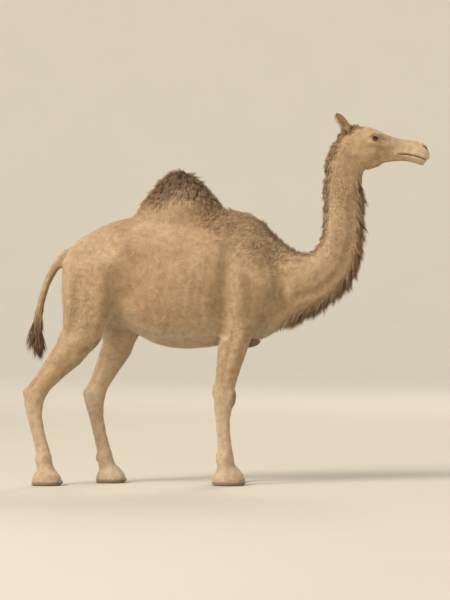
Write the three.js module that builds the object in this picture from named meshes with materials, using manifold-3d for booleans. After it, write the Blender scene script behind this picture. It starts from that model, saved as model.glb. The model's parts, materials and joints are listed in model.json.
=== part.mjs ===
// A life-size adult dromedary, standing still: forelegs together, the right hind leg set back and the
// left one forward. Millimetres, +Z up, +X towards the muzzle, +Y to the animal's left. The tables give
// the true outline, out to the tips of the coat; the last lines put the origin on the floor, in the middle.
import * as THREE from "three";
import { mergeVertices } from "three/addons/utils/BufferGeometryUtils.js";
import Module from "manifold-3d";

const wasm = await Module();
wasm.setup();

// ---- Driving dimensions -------------------------------------------------------------------------

const SEAM = 0.35; // clear gap left where two pieces meet
const HUMP_TOP = 2226; // floor to the top of the hump
const WITHERS = 1942; // floor to the top of the shoulders
const BELLY = 942; // floor to the lowest point of the belly
const BARREL_HALF = 318; // half the width of the rib cage
const FORE_TRACK = 158; // forelegs' distance from the middle line
const HIND_TRACK = 150; // hind legs' distance from the middle line
const FOOT_LENGTH = 236;
const FOOT_WIDTH = 206;
const FOOT_HEIGHT = 112; // sole to where the pad passes into the pastern
const HIND_FOOT_SHARE = 0.93; // hind feet are this much of the forefeet's size
const HEAD_ORIGIN = [822, 2390]; // x and z of the poll end of the head's own axis
const HEAD_PITCH = THREE.MathUtils.degToRad(6); // muzzle down from level
const EYE_RADIUS = 22;
const EYE_PLACE = [214, 48]; // along the head's axis and above it
const EYE_SIDE = 87; // eyeball centre from the middle line
const TOE_SLOPE = THREE.MathUtils.degToRad(24); // how steeply the front of the pad comes down

// ---- Materials ----------------------------------------------------------------------------------

const finish = (color, roughness) => new THREE.MeshStandardMaterial({ color, roughness, metalness: 0 });
const COAT = finish(0xc9ad86, 0.9);
const LONG_HAIR = finish(0x8d6a45, 0.9);
const CALLUS = finish(0x6f5c4b, 0.75);
const HORN = finish(0x3f3730, 0.5);
const EYE = finish(0x1c120b, 0.08);

// ---- Solids -------------------------------------------------------------------------------------

const MERGE_WITHIN = 1e-3;

const manifoldOf = (vertProperties, triVerts) =>
  new wasm.Manifold(new wasm.Mesh({ numProp: 3, vertProperties, triVerts }));

// A geometry as a manifold solid. Only its merged positions matter, and a shape whose faces point
// inwards is turned round.
function solid(geometry) {
  geometry.deleteAttribute("normal");
  geometry.deleteAttribute("uv");
  const merged = mergeVertices(geometry, MERGE_WITHIN);
  const places = merged.attributes.position.array;
  const corners = new Uint32Array(merged.index.array);
  const made = manifoldOf(places, corners);
  return made.volume() > 0 ? made : manifoldOf(places, corners.reverse());
}

// A number or list that runs smoothly through the rows of a table; at is a row number with a fraction.
function between(rows, at) {
  const last = rows.length - 1;
  const i = Math.min(Math.floor(at), last - 1);
  const f = at - i;
  const [a, b, c, d] = [i - 1, i, i + 1, i + 2].map((k) => rows[Math.min(Math.max(k, 0), last)]);
  return b.map((_, k) => {
    const slopeB = (c[k] - a[k]) / 2;
    const slopeC = (d[k] - b[k]) / 2;
    const rise = c[k] - b[k];
    return b[k] + f * (slopeB + f * (3 * rise - 2 * slopeB - slopeC + f * (slopeB + slopeC - 2 * rise)));
  });
}

// A closed skin of rings. Each row is one ring: the x and z of its upper (or rear) and lower (or front)
// outline points, half its width, how far up the widest place is, the fullness above and below that
// place (1 is an ellipse, more is leaner), and the ring's own y. grow makes it larger all round, ends too.
function rings(rows, { sides = 20, steps = 2, from = 0, to = rows.length - 1, grow = 0 }) {
  const count = Math.max(1, Math.round((to - from) * steps));
  const pushAt = (end, inner) => {
    const [outer, within] = [end, inner].map((at) => between(rows, at));
    const way = [outer[0] + outer[2] - within[0] - within[2], outer[1] + outer[3] - within[1] - within[3]];
    return way.map((step) => (step * grow) / Math.hypot(...way));
  };
  const startPush = pushAt(from, from + 0.1);
  const endPush = pushAt(to, to - 0.1);
  const tube = new THREE.CylinderGeometry(1, 1, 1, sides, count);
  const place = tube.attributes.position;
  for (let i = 0; i < place.count; i++) {
    const share = 0.5 - place.getY(i);
    const ring = between(rows, from + (to - from) * share);
    const [upX, upZ, lowX, lowZ, half, widest, leanUp, leanLow, y] = ring;
    const middle = [lowX + (upX - lowX) * widest, lowZ + (upZ - lowZ) * widest];
    const across = place.getX(i);
    const along = place.getZ(i);
    const end = along >= 0 ? [upX, upZ] : [lowX, lowZ];
    const reach = Math.hypot(end[0] - middle[0], end[1] - middle[1]);
    const out = Math.abs(along) * (1 + grow / Math.max(reach, 1));
    const lean = along >= 0 ? leanUp : leanLow;
    const sideways = Math.sign(across) * Math.abs(across) ** lean * (half + grow);
    let push = [0, 0];
    if (share < 1e-6) push = startPush;
    if (share > 1 - 1e-6) push = endPush;
    const x = middle[0] + (end[0] - middle[0]) * out + push[0];
    const z = middle[1] + (end[1] - middle[1]) * out + push[1];
    place.setXYZ(i, x, y + sideways, z);
  }
  return solid(tube);
}

// Rows of rings() for a leg. joints are [x, y, z] down the leg; each station is its place between
// joints (2.5 is halfway from joint 2 to joint 3), its reach behind and before the axis, and half its
// width. Rings stand square to the axis.
function limbRows(joints, stations) {
  return stations.map(([at, behind, before, half]) => {
    const [x, y, z] = between(joints, at);
    const ahead = between(joints, Math.min(at + 0.12, joints.length - 1));
    const back = between(joints, Math.max(at - 0.12, 0));
    const length = Math.hypot(ahead[0] - back[0], ahead[2] - back[2]);
    const square = [(back[2] - ahead[2]) / length, (ahead[0] - back[0]) / length];
    return [
      x - square[0] * behind,
      z - square[1] * behind,
      x + square[0] * before,
      z + square[1] * before,
      half,
      before / (before + behind),
      1,
      1,
      y,
    ];
  });
}

// A ball with three half-axes, turned about Y and then moved.
function ball(centre, halves, { wide = 14, high = 10, turn = 0, grow = 0 } = {}) {
  const sphere = new THREE.SphereGeometry(1, wide, high);
  sphere.scale(halves[0] + grow, halves[1] + grow, halves[2] + grow);
  sphere.rotateY(turn);
  sphere.translate(...centre);
  return solid(sphere);
}

// An outline in x and z, extruded across the whole width of the animal.
function curtain(points, halfWidth) {
  const outline = new THREE.Shape(points.map(([x, z]) => new THREE.Vector2(x, z)));
  const slab = new THREE.ExtrudeGeometry(outline, { depth: 2 * halfWidth, bevelEnabled: false });
  slab.rotateX(Math.PI / 2);
  slab.translate(0, halfWidth, 0);
  return solid(slab);
}

const minus = (body, ...cutters) => cutters.reduce((left, cutter) => left.subtract(cutter), body);

// The largest body of a cut solid: slivers that a cut leaves loose are dropped.
function main(cut) {
  const bodies = cut.decompose();
  return bodies.reduce((best, body) => (body.volume() > best.volume() ? body : best));
}

const model = new THREE.Group();

function add(name, body, material) {
  const mesh = main(body).getMesh();
  const geometry = new THREE.BufferGeometry();
  geometry.setAttribute("position", new THREE.BufferAttribute(mesh.vertProperties, 3));
  geometry.setIndex(new THREE.BufferAttribute(mesh.triVerts, 1));
  geometry.computeVertexNormals();
  const piece = new THREE.Mesh(geometry, material);
  piece.name = name;
  model.add(piece);
}

const SIDES = { left: 1, right: -1 };

// ---- Trunk, hump and chest pad ------------------------------------------------------------------

// Upper x, z, lower x, z, half width, widest place, fullness above and below, y: from rump to brisket.
const TRUNK = [
  [-1126, 1566, -1110, 1396, 40, 0.5, 1, 1, 0],
  [-1080, 1660, -1075, 1262, 112, 0.52, 1.1, 1, 0],
  [-990, 1746, -990, 1190, 160, 0.55, 1.15, 0.95, 0],
  [-870, 1816, -866, 1140, 196, 0.56, 1.2, 0.95, 0],
  [-735, 1862, -735, 1098, 236, 0.52, 1.25, 0.95, 0],
  [-610, 1884, -612, 1038, 280, 0.48, 1.3, 0.92, 0],
  [-490, 1894, -492, 978, 306, 0.45, 1.3, 0.9, 0],
  [-370, 1904, -375, 949, BARREL_HALF, 0.44, 1.3, 0.9, 0],
  [-250, 1912, -258, BELLY, BARREL_HALF, 0.44, 1.3, 0.9, 0],
  [-130, 1920, -140, 950, 300, 0.45, 1.3, 0.92, 0],
  [-15, 1932, -22, 965, 268, 0.46, 1.3, 0.95, 0],
  [95, WITHERS, 95, 980, 232, 0.48, 1.3, 1, 0],
  [200, 1915, 205, 990, 204, 0.5, 1.25, 1, 0],
  [295, 1838, 305, 1012, 182, 0.5, 1.15, 1, 0],
  [372, 1745, 392, 1072, 158, 0.5, 1.1, 1, 0],
  [432, 1650, 452, 1150, 118, 0.5, 1, 1, 0],
  [468, 1540, 482, 1270, 58, 0.5, 1, 1, 0],
];

// The hump's rings lie level, from inside the back to the crest.
const HUMP = [
  [-666, 1740, 36, 1740, 160, 0.5, 1, 1, 0],
  [-656, 1826, 36, 1840, 166, 0.5, 1, 1, 0],
  [-632, 1912, 20, 1934, 158, 0.5, 1, 1, 0],
  [-588, 1982, -30, 1994, 144, 0.5, 1, 1, 0],
  [-530, 2060, -84, 2062, 124, 0.5, 1, 1, 0],
  [-474, 2134, -138, 2126, 99, 0.5, 1, 1, 0],
  [-412, 2190, -192, 2180, 71, 0.5, 1, 1, 0],
  [-352, 2216, -240, 2210, 40, 0.5, 1, 1, 0],
  [-312, HUMP_TOP, -272, HUMP_TOP - 2, 13, 0.5, 1, 1, 0],
];

const trunkSolid = (grow) => rings(TRUNK, { sides: 20, steps: 1, grow });
const humpSolid = (grow) => rings(HUMP, { sides: 18, steps: 1, grow });

// The horny pedestal under the breastbone, on which a resting camel lies.
const PAD_CENTRE = [140, 0, 996];
const PAD_HALVES = [112, 72, 50];
const padSolid = () => ball(PAD_CENTRE, PAD_HALVES, { wide: 14, high: 10 });

// ---- Neck ---------------------------------------------------------------------------------------

// Nape x, z, throat x, z, half width, ...: from inside the chest up to inside the head.
const NECK = [
  [300, 1800, 330, 1046, 140, 0.5, 1.1, 1.05, 0],
  [398, 1724, 470, 1118, 158, 0.5, 1.1, 1.05, 0],
  [478, 1652, 600, 1182, 152, 0.5, 1.05, 1.05, 0],
  [545, 1624, 712, 1238, 142, 0.5, 1, 1.05, 0],
  [602, 1630, 812, 1316, 130, 0.52, 1, 1.1, 0],
  [646, 1672, 888, 1400, 119, 0.54, 1, 1.1, 0],
  [668, 1738, 942, 1496, 110, 0.55, 1, 1.15, 0],
  [679, 1818, 973, 1606, 103, 0.56, 1, 1.15, 0],
  [680, 1902, 988, 1734, 98, 0.57, 1, 1.2, 0],
  [676, 1992, 993, 1872, 95, 0.58, 1, 1.2, 0],
  [674, 2084, 993, 1990, 92, 0.58, 1, 1.2, 0],
  [683, 2182, 988, 2084, 89, 0.58, 1, 1.2, 0],
  [708, 2290, 982, 2162, 87, 0.57, 1, 1.15, 0],
  [750, 2388, 976, 2224, 84, 0.55, 1, 1.1, 0],
  [812, 2458, 980, 2276, 72, 0.5, 1, 1, 0],
];
const NECK_BREAKS = { base: [0, 4], middle: [4, 9], upper: [9, 14] };

function neckSolid(part, grow) {
  const [from, to] = NECK_BREAKS[part];
  const inset = (part === "base" ? 0 : SEAM) / 100;
  return rings(NECK, { sides: 16, steps: 1.2, from: from + inset, to, grow });
}

// ---- Head ---------------------------------------------------------------------------------------

// From the head's own axis (along, above) to x and z.
function headPoint(along, above) {
  const [x, z] = HEAD_ORIGIN;
  const [c, s] = [Math.cos(HEAD_PITCH), Math.sin(HEAD_PITCH)];
  return [x + along * c + above * s, z - along * s + above * c];
}

// Along the axis, top and underside above it, half width, widest place, fullness above and below.
const HEAD = [
  [-36, 46, -46, 36, 0.5, 1, 1],
  [0, 88, -92, 66, 0.52, 1, 1],
  [42, 116, -132, 82, 0.56, 0.95, 1.05],
  [90, 130, -160, 90, 0.61, 0.9, 1.1],
  [140, 133, -170, 94, 0.66, 0.85, 1.15],
  [186, 130, -164, 99, 0.7, 0.8, 1.2],
  [226, 120, -147, 102, 0.72, 0.78, 1.25],
  [270, 105, -127, 90, 0.7, 0.85, 1.2],
  [320, 90, -109, 73, 0.64, 0.9, 1.15],
  [375, 78, -95, 61, 0.55, 0.95, 1.1],
  [430, 72, -87, 57, 0.49, 0.95, 1],
  [475, 73, -87, 59, 0.46, 0.9, 0.95],
  [515, 72, -92, 63, 0.46, 0.9, 0.95],
  [548, 65, -99, 63, 0.46, 0.92, 0.92],
  [578, 50, -98, 56, 0.46, 0.95, 0.95],
  [599, 26, -84, 42, 0.46, 1, 1],
  [612, 0, -58, 20, 0.5, 1, 1],
];

const HEAD_ROWS = HEAD.map(([along, top, under, ...rest]) => [
  ...headPoint(along, top),
  ...headPoint(along, under),
  ...rest,
  0,
]);
const skullSolid = (grow) => rings(HEAD_ROWS, { sides: 18, steps: 1, grow });

// The mouth line from lip to corner, then the edge of the jaw back to its angle; drop widens the cut.
const MOUTH_LINE = [
  [640, -50],
  [560, -46],
  [490, -38],
  [410, -30],
];
const JAW_EDGE = [
  [330, -58],
  [230, -92],
  [130, -150],
];
const JAW_FLOOR = [
  [130, -220],
  [640, -220],
];
const HEAD_SPAN = 160; // wider than half the head

function jawRegion(lift) {
  const edge = [...MOUTH_LINE, ...JAW_EDGE].map(([along, above]) => headPoint(along, above + lift));
  const floor = JAW_FLOOR.map(([along, above]) => headPoint(along, above));
  return curtain([...edge, ...floor], HEAD_SPAN);
}

const [EYE_X, EYE_Z] = headPoint(...EYE_PLACE);
const EYE_HALVES = [EYE_RADIUS, EYE_RADIUS, EYE_RADIUS];
const eyeSolid = (side, grow) =>
  ball([EYE_X, side * EYE_SIDE, EYE_Z], EYE_HALVES, { wide: 10, high: 8, grow });

// The bony rim that stands out above and behind each eye.
const BROW_HALVES = [50, 26, 22];
const BROW_SIDE = 80;
const browSolid = (side, grow) => {
  const centre = [EYE_X - 8, side * BROW_SIDE, EYE_Z + 21];
  return ball(centre, BROW_HALVES, { wide: 10, high: 6, turn: HEAD_PITCH, grow });
};

const headSolid = (grow) =>
  Object.values(SIDES).reduce((head, side) => head.add(browSolid(side, grow)), skullSolid(grow));

// Ears: a leaf from root to tip, hollowed from the front and outside. Stations along it give half its
// depth and half its width.
const EAR_ROOT = new THREE.Vector3(864, 52, 2482);
const EAR_TIP = new THREE.Vector3(778, 98, 2592);
const EAR_TILT = 4; // the front of each ring stands this much higher than its middle
const EAR_HOLLOW = { share: 0.78, shift: 13, from: 1.4 };
const EAR_STATIONS = [
  [0, 20, 22],
  [0.2, 23, 25],
  [0.42, 25, 28],
  [0.65, 22, 26],
  [0.85, 15, 18],
  [1, 6, 7],
];

function earSolid(side, grow) {
  const leaf = (thin, shift) =>
    EAR_STATIONS.map(([share, depth, half]) => {
      const { x, y, z } = new THREE.Vector3().lerpVectors(EAR_ROOT, EAR_TIP, share);
      const reach = depth * thin;
      const out = [x + shift - reach, z - EAR_TILT, x + shift + reach, z + EAR_TILT];
      return [...out, half * thin, 0.5, 1, 1, side * (y + shift)];
    });
  const shell = rings(leaf(1, 0), { sides: 10, steps: 1, grow });
  const { share, shift, from } = EAR_HOLLOW;
  const hollow = rings(leaf(share, shift), { sides: 8, steps: 1, from });
  return grow ? shell : shell.subtract(hollow);
}

// ---- Tail ---------------------------------------------------------------------------------------

// Down the tail: x, z, half depth, half width.
const TAIL_LINE = [
  [-1060, 1640, 38, 30],
  [-1130, 1594, 42, 34],
  [-1196, 1506, 38, 32],
  [-1246, 1406, 35, 30],
  [-1278, 1306, 34, 30],
  [-1300, 1208, 37, 33],
  [-1312, 1124, 43, 39],
  [-1314, 1058, 38, 35],
  [-1308, 1002, 11, 12],
];
const TAIL_ROWS = limbRows(
  TAIL_LINE.map(([x, z]) => [x, 0, z]),
  TAIL_LINE.map(([, , depth, half], i) => [i, depth, depth, half]),
);
const TUFT_START = 4.6;
const tailSolid = () => rings(TAIL_ROWS, { sides: 12, steps: 1.2, to: TUFT_START });
const tuftSolid = () => rings(TAIL_ROWS, { sides: 12, steps: 1.5, from: TUFT_START + SEAM / 90 });

// ---- Legs ---------------------------------------------------------------------------------------

// Joints from top to sole as x, distance from the middle line, z.
const FORE_JOINTS = [
  [185, 92, 1778],
  [190, 150, 1440],
  [105, 166, 1130],
  [-8, FORE_TRACK, 618],
  [4, FORE_TRACK, 196],
  [22, FORE_TRACK, 0],
];
// Place, reach behind, reach before, half width. 2 is the elbow, 3 the knee, 4 the fetlock.
const FORE_STATIONS = [
  [0, 70, 82, 32],
  [0.5, 138, 146, 62],
  [1, 184, 186, 84],
  [1.5, 188, 160, 92],
  [2, 158, 124, 88],
  [2.3, 122, 102, 76],
  [2.6, 92, 84, 64],
  [2.85, 76, 72, 58],
  [3, 75, 78, 63],
  [3.14, 68, 70, 58],
  [3.35, 57, 52, 46],
  [3.6, 53, 49, 42],
  [3.85, 56, 52, 46],
  [4, 66, 60, 55],
  [4.25, 66, 62, 57],
  [4.55, 70, 70, 64],
];

// The right hind leg is set back and the left one forward; their bones are nearly the same length.
const HIND_JOINTS = {
  right: [
    [-925, 62, 1722],
    [-932, 140, 1530],
    [-986, 168, 1045],
    [-1312, HIND_TRACK, 618],
    [-1256, HIND_TRACK, 194],
    [-1240, HIND_TRACK, 0],
  ],
  left: [
    [-948, 62, 1722],
    [-905, 140, 1520],
    [-716, 172, 1086],
    [-908, HIND_TRACK, 612],
    [-846, HIND_TRACK, 194],
    [-806, HIND_TRACK, 0],
  ],
};
// 1 is the hip, 2 the stifle, 3 the hock, 4 the fetlock.
const HIND_STATIONS = [
  [0, 100, 108, 44],
  [0.5, 168, 196, 84],
  [1, 220, 236, 106],
  [1.4, 222, 218, 112],
  [1.75, 190, 168, 104],
  [2, 164, 126, 92],
  [2.3, 128, 100, 74],
  [2.55, 98, 82, 60],
  [2.8, 78, 69, 50],
  [2.93, 88, 68, 51],
  [3, 98, 68, 53],
  [3.12, 80, 63, 48],
  [3.32, 56, 54, 40],
  [3.6, 50, 49, 37],
  [3.85, 53, 50, 41],
  [4, 62, 56, 50],
  [4.25, 62, 60, 52],
  [4.55, 66, 68, 58],
];

// Where each leg is parted, as places between joints; the foot starts at the last one.
const FORE_PARTS = { shoulder: [0, 2], forearm: [2, 3.14], cannon: [3.14, 4.25] };
const HIND_PARTS = { thigh: [0, 2], shank: [2, 3.12], cannon: [3.12, 4.25] };

const onSide = (joints, side) => joints.map(([x, y, z]) => [x, side * y, z]);
const rowOf = (stations, place) => stations.findIndex(([at]) => at === place);

function limbPart(rows, stations, [start, end], options) {
  const from = rowOf(stations, start);
  const to = rowOf(stations, end);
  return rings(rows, { from: from ? from + SEAM / 40 : 0, to, sides: 12, steps: 1, ...options });
}

// Ring shares of the pad, from its top down to the flat sole: height, reach behind and before, width.
const PAD_RINGS = [
  [0.94, 0.62, 0.6, 0.6],
  [0.68, 0.82, 0.8, 0.78],
  [0.36, 0.96, 0.98, 0.95],
  [0.12, 1, 1.04, 1],
  [0, 0.95, 0.99, 0.94],
];
const TOE_CLEFT = { depth: 62, width: 13, height: 66, level: 12 };
const NAIL = { halves: [26, 21, 17], spread: 44, level: 34, ahead: 0.93 };

// The foot runs from the pastern to the flat sole, with the cleft between its two toes in front.
function footSolid(joints, stations, scale) {
  const rows = limbRows(joints, stations);
  const top = rows[rowOf(stations, 4.25)];
  const [soleX, soleY] = joints.at(-1);
  const half = (FOOT_LENGTH / 2) * scale;
  const pad = PAD_RINGS.map(([level, behind, before, width]) => {
    const z = level * FOOT_HEIGHT;
    const out = [soleX - half * behind, z, soleX + half * before, z];
    return [...out, (FOOT_WIDTH / 2) * scale * width, 0.5, 0.9, 0.9, soleY];
  });
  const seam = [...top];
  seam[1] -= SEAM;
  seam[3] -= SEAM;
  const foot = rings([seam, ...pad], { sides: 14, steps: 1 });
  const cleft = new THREE.BoxGeometry(TOE_CLEFT.depth, TOE_CLEFT.width, TOE_CLEFT.height);
  cleft.rotateY(-TOE_SLOPE);
  cleft.translate(soleX + half, soleY, TOE_CLEFT.level);
  return foot.subtract(solid(cleft));
}

function nailSolid(joints, scale, spread, grow) {
  const [soleX, soleY] = joints.at(-1);
  const front = soleX + (FOOT_LENGTH / 2) * scale * NAIL.ahead;
  const centre = [front, soleY + spread * NAIL.spread, NAIL.level];
  return ball(centre, NAIL.halves, { wide: 8, high: 6, turn: TOE_SLOPE, grow });
}

const LEGS = [];
for (const [sideName, side] of Object.entries(SIDES)) {
  LEGS.push({
    name: `foreleg_${sideName}`,
    side,
    joints: onSide(FORE_JOINTS, side),
    stations: FORE_STATIONS,
    parts: FORE_PARTS,
    footScale: 1,
  });
  LEGS.push({
    name: `hindleg_${sideName}`,
    side,
    joints: onSide(HIND_JOINTS[sideName], side),
    stations: HIND_STATIONS,
    parts: HIND_PARTS,
    footScale: HIND_FOOT_SHARE,
  });
}

// ---- Assembly -----------------------------------------------------------------------------------

// The grown upper parts of the legs are what the trunk, neck and tail give way to.
const limbCutters = LEGS.flatMap(({ joints, stations, parts }) => {
  const rows = limbRows(joints, stations);
  const upperTwo = Object.values(parts).slice(0, 2);
  return upperTwo.map((span) => limbPart(rows, stations, span, { grow: SEAM }));
});
const grownTrunk = trunkSolid(SEAM);
const grownHead = headSolid(SEAM);

add("trunk", minus(trunkSolid(0), ...limbCutters), COAT);
add("hump", minus(humpSolid(0), grownTrunk), LONG_HAIR);
add("chest_pad", minus(padSolid(), grownTrunk, ...limbCutters), CALLUS);

add("neck_base", minus(neckSolid("base", 0), grownTrunk, humpSolid(SEAM), ...limbCutters), COAT);
add("neck_middle", neckSolid("middle", 0), COAT);
add("neck_upper", minus(neckSolid("upper", 0), grownHead), COAT);

const grownEyes = Object.values(SIDES).map((side) => eyeSolid(side, SEAM));
const grownEars = Object.values(SIDES).map((side) => earSolid(side, SEAM));
const wholeHead = minus(headSolid(0), ...grownEyes, ...grownEars);
add("head", wholeHead.subtract(jawRegion(SEAM)), COAT);
add("lower_jaw", wholeHead.intersect(jawRegion(-SEAM)), COAT);

for (const [sideName, side] of Object.entries(SIDES)) {
  add(`eye_${sideName}`, eyeSolid(side, 0), EYE);
  add(`ear_${sideName}`, minus(earSolid(side, 0), neckSolid("upper", SEAM)), COAT);
}

add("tail", minus(tailSolid(), grownTrunk, ...limbCutters), COAT);
add("tail_tuft", tuftSolid(), LONG_HAIR);

for (const { name, side, joints, stations, parts, footScale } of LEGS) {
  const rows = limbRows(joints, stations);
  for (const [part, span] of Object.entries(parts)) {
    add(`${name}_${part}`, limbPart(rows, stations, span, {}), COAT);
  }
  const nails = { inner: -side, outer: side };
  const cutters = Object.values(nails).map((spread) => nailSolid(joints, footScale, spread, SEAM));
  add(`${name}_foot`, minus(footSolid(joints, stations, footScale), ...cutters), COAT);
  for (const [nail, spread] of Object.entries(nails)) {
    add(`${name}_nail_${nail}`, nailSolid(joints, footScale, spread, 0), HORN);
  }
}

const box = new THREE.Box3().setFromObject(model);
model.position.set(-(box.min.x + box.max.x) / 2, -(box.min.y + box.max.y) / 2, -box.min.z);

export default model;
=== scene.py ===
"""A standing dromedary camel: skin, eyes, horn and coat over its solid model, on a plain studio stage."""

import json
import math

import bmesh
import bpy
import numpy as np
from bpy.props import FloatProperty, FloatVectorProperty, IntProperty, PointerProperty
from mathutils import Matrix, Vector

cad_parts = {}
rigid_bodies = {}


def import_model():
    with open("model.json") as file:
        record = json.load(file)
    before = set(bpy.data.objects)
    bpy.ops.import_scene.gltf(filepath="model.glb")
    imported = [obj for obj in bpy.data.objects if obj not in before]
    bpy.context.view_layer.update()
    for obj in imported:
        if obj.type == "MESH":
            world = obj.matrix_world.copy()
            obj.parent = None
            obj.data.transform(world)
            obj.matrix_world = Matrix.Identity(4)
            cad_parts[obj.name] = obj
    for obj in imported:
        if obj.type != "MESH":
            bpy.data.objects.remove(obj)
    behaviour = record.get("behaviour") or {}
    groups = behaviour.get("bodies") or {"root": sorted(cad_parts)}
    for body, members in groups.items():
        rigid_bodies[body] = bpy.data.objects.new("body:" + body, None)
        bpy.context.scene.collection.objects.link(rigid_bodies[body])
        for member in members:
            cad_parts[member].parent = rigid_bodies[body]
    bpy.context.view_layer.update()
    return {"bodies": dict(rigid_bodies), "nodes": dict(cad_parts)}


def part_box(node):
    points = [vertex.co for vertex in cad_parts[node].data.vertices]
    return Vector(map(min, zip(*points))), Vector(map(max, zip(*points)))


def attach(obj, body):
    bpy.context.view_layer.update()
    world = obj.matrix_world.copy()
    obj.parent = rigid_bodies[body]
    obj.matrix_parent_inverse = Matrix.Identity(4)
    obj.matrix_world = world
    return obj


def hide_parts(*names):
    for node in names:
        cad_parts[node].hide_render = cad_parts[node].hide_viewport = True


bl_info = {
    "name": "Dromedary",
    "version": (1, 0, 0),
    "blender": (4, 5, 0),
    "location": "View3D > Sidebar > Dromedary",
    "description": "Builds a life-size dromedary's skin, coat, eyes and horn, and a stage",
    "category": "Add Mesh",
}

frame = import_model()
bpy.context.view_layer.update()  # so that a ray can be cast at the head
NODES = frame["nodes"]
BODY = next(iter(frame["bodies"]))
SIDES = {"left": 1.0, "right": -1.0}  # +Y is the animal's left
NAILS = [name for name in NODES if "_nail_" in name]
FLESH = [name for name in NODES if not (name.startswith("eye_") or name in NAILS or name == "chest_pad")]

# ---- Landmarks, in metres in the model's frame --------------------------------------------------
# The drafting frame, in which the tables below are written, lies CENTRE_SHIFT behind the model's.

EYE_ALONG, EYE_ABOVE, EYE_RADIUS = 0.214, 0.048, 0.022  # the eye's place in the head's own frame
HEAD_PITCH = math.radians(6)
HEAD_ORIGIN = (0.822, 2.390)  # the poll, in the drafting frame
COS, SIN = math.cos(HEAD_PITCH), math.sin(HEAD_PITCH)


def middle_of(node):
    low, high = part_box(node)
    return (low + high) / 2


CENTRE_SHIFT = middle_of("eye_left").x - (HEAD_ORIGIN[0] + EYE_ALONG * COS + EYE_ABOVE * SIN)
HEAD_X, HEAD_Z = HEAD_ORIGIN[0] + CENTRE_SHIFT, HEAD_ORIGIN[1]


def placed(rows):
    """Rows of x and z, or x, y and z, in the drafting frame, as points of the model."""
    return np.array([(row[0] + CENTRE_SHIFT, 0.0 if len(row) == 2 else row[1], row[-1]) for row in rows])


def head_point(along, above, side=0.0):
    """A point of the head: along its axis from poll to lips, above that axis, and to the left."""
    return np.array([HEAD_X + along * COS + above * SIN, side, HEAD_Z - along * SIN + above * COS])


def in_head(points):
    """Points as along, above and side in the head's own frame."""
    x, z = points[:, 0] - HEAD_X, points[:, 2] - HEAD_Z
    return np.stack([x * COS - z * SIN, x * SIN + z * COS, points[:, 1]], axis=1)


FORE_JOINTS = [(0.185, 0.092, 1.778), (0.190, 0.150, 1.440), (0.105, 0.166, 1.130),
               (-0.008, 0.158, 0.618), (0.004, 0.158, 0.196), (0.022, 0.158, 0.0)]
HIND_BACK_JOINTS = [(-0.925, 0.062, 1.722), (-0.932, 0.140, 1.530), (-0.986, 0.168, 1.045),
                    (-1.312, 0.150, 0.618), (-1.256, 0.150, 0.194), (-1.240, 0.150, 0.0)]
HIND_AHEAD_JOINTS = [(-0.948, 0.062, 1.722), (-0.905, 0.140, 1.520), (-0.716, 0.172, 1.086),
                     (-0.908, 0.150, 0.612), (-0.846, 0.150, 0.194), (-0.806, 0.150, 0.0)]
# A place down a leg counts these joints: 2 is the elbow or stifle, 3 the knee or hock, 4 the fetlock.
LEGS = {
    "foreleg_left": placed(FORE_JOINTS),
    "foreleg_right": placed(FORE_JOINTS) * (1, -1, 1),
    "hindleg_left": placed(HIND_AHEAD_JOINTS),
    "hindleg_right": placed(HIND_BACK_JOINTS) * (1, -1, 1),
}
SPINE = placed([(-1.10, 1.50), (-0.60, 1.45), (-0.10, 1.43), (0.22, 1.45)])
HUMP_AXIS = placed([(-0.32, 1.96), (-0.32, 2.16)])
HUMP_CREST = placed([(-0.53, 2.05), (-0.42, 2.17), (-0.31, 2.21), (-0.20, 2.17), (-0.10, 2.06)])
NECK = placed([(0.33, 1.45), (0.60, 1.40), (0.76, 1.53), (0.82, 1.80), (0.835, 2.10), (0.84, 2.26)])
NAPE = placed([(0.30, 1.80), (0.398, 1.724), (0.478, 1.652), (0.602, 1.63), (0.668, 1.738),
               (0.680, 1.902), (0.674, 2.084), (0.708, 2.29), (0.770, 2.41)])
THROAT = placed([(0.33, 1.05), (0.60, 1.182), (0.812, 1.316), (0.942, 1.496), (0.988, 1.734),
                 (0.993, 1.99), (0.990, 2.10)])
TAIL = placed([(-1.06, 1.64), (-1.13, 1.594), (-1.196, 1.506), (-1.246, 1.406), (-1.278, 1.306),
               (-1.300, 1.208), (-1.312, 1.124), (-1.314, 1.058), (-1.310, 1.01)])
WITHERS = placed([(0.02, 1.93), (0.20, 1.88), (0.26, 1.66)])
MUZZLE = np.array([head_point(0.08, 0.0), head_point(0.60, -0.02)])
CROWN = [head_point(0.0, 0.09), head_point(0.09, 0.128)]
EAR_ROOT, EAR_TIP = (0.873, 0.048, 2.455), (0.780, 0.097, 2.587)
EARS = {name: placed([EAR_ROOT, EAR_TIP]) * (1, side, 1) for name, side in SIDES.items()}


def curve_at(points, at):
    """A point on a smooth curve through points; at is an index with a fraction."""
    last = len(points) - 1
    index = int(min(max(math.floor(at), 0), last - 1))
    f = at - index
    a, b, c, d = (points[min(max(k, 0), last)] for k in range(index - 1, index + 3))
    slope_b, slope_c, rise = (c - a) / 2, (d - b) / 2, c - b
    return b + f * (slope_b + f * (3 * rise - 2 * slope_b - slope_c + f * (slope_b + slope_c - 2 * rise)))


def leg_point(leg, at, ahead=0.0, out=0.0):
    """A point at a place down a leg, so far ahead of its axis and so far to its outer side."""
    joints = LEGS[leg]
    way = curve_at(joints, min(at + 0.1, 5)) - curve_at(joints, max(at - 0.1, 0))
    way[1] = 0
    way /= np.linalg.norm(way)
    outwards = SIDES[leg.split("_")[1]] * out
    return curve_at(joints, at) + ahead * np.array([-way[2], 0, way[0]]) + np.array([0, outwards, 0])


# ---- Small tools --------------------------------------------------------------------------------


def smooth_step(low, high, value):
    t = np.clip((value - low) / (high - low), 0, 1)
    return t * t * (3 - 2 * t)


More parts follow.
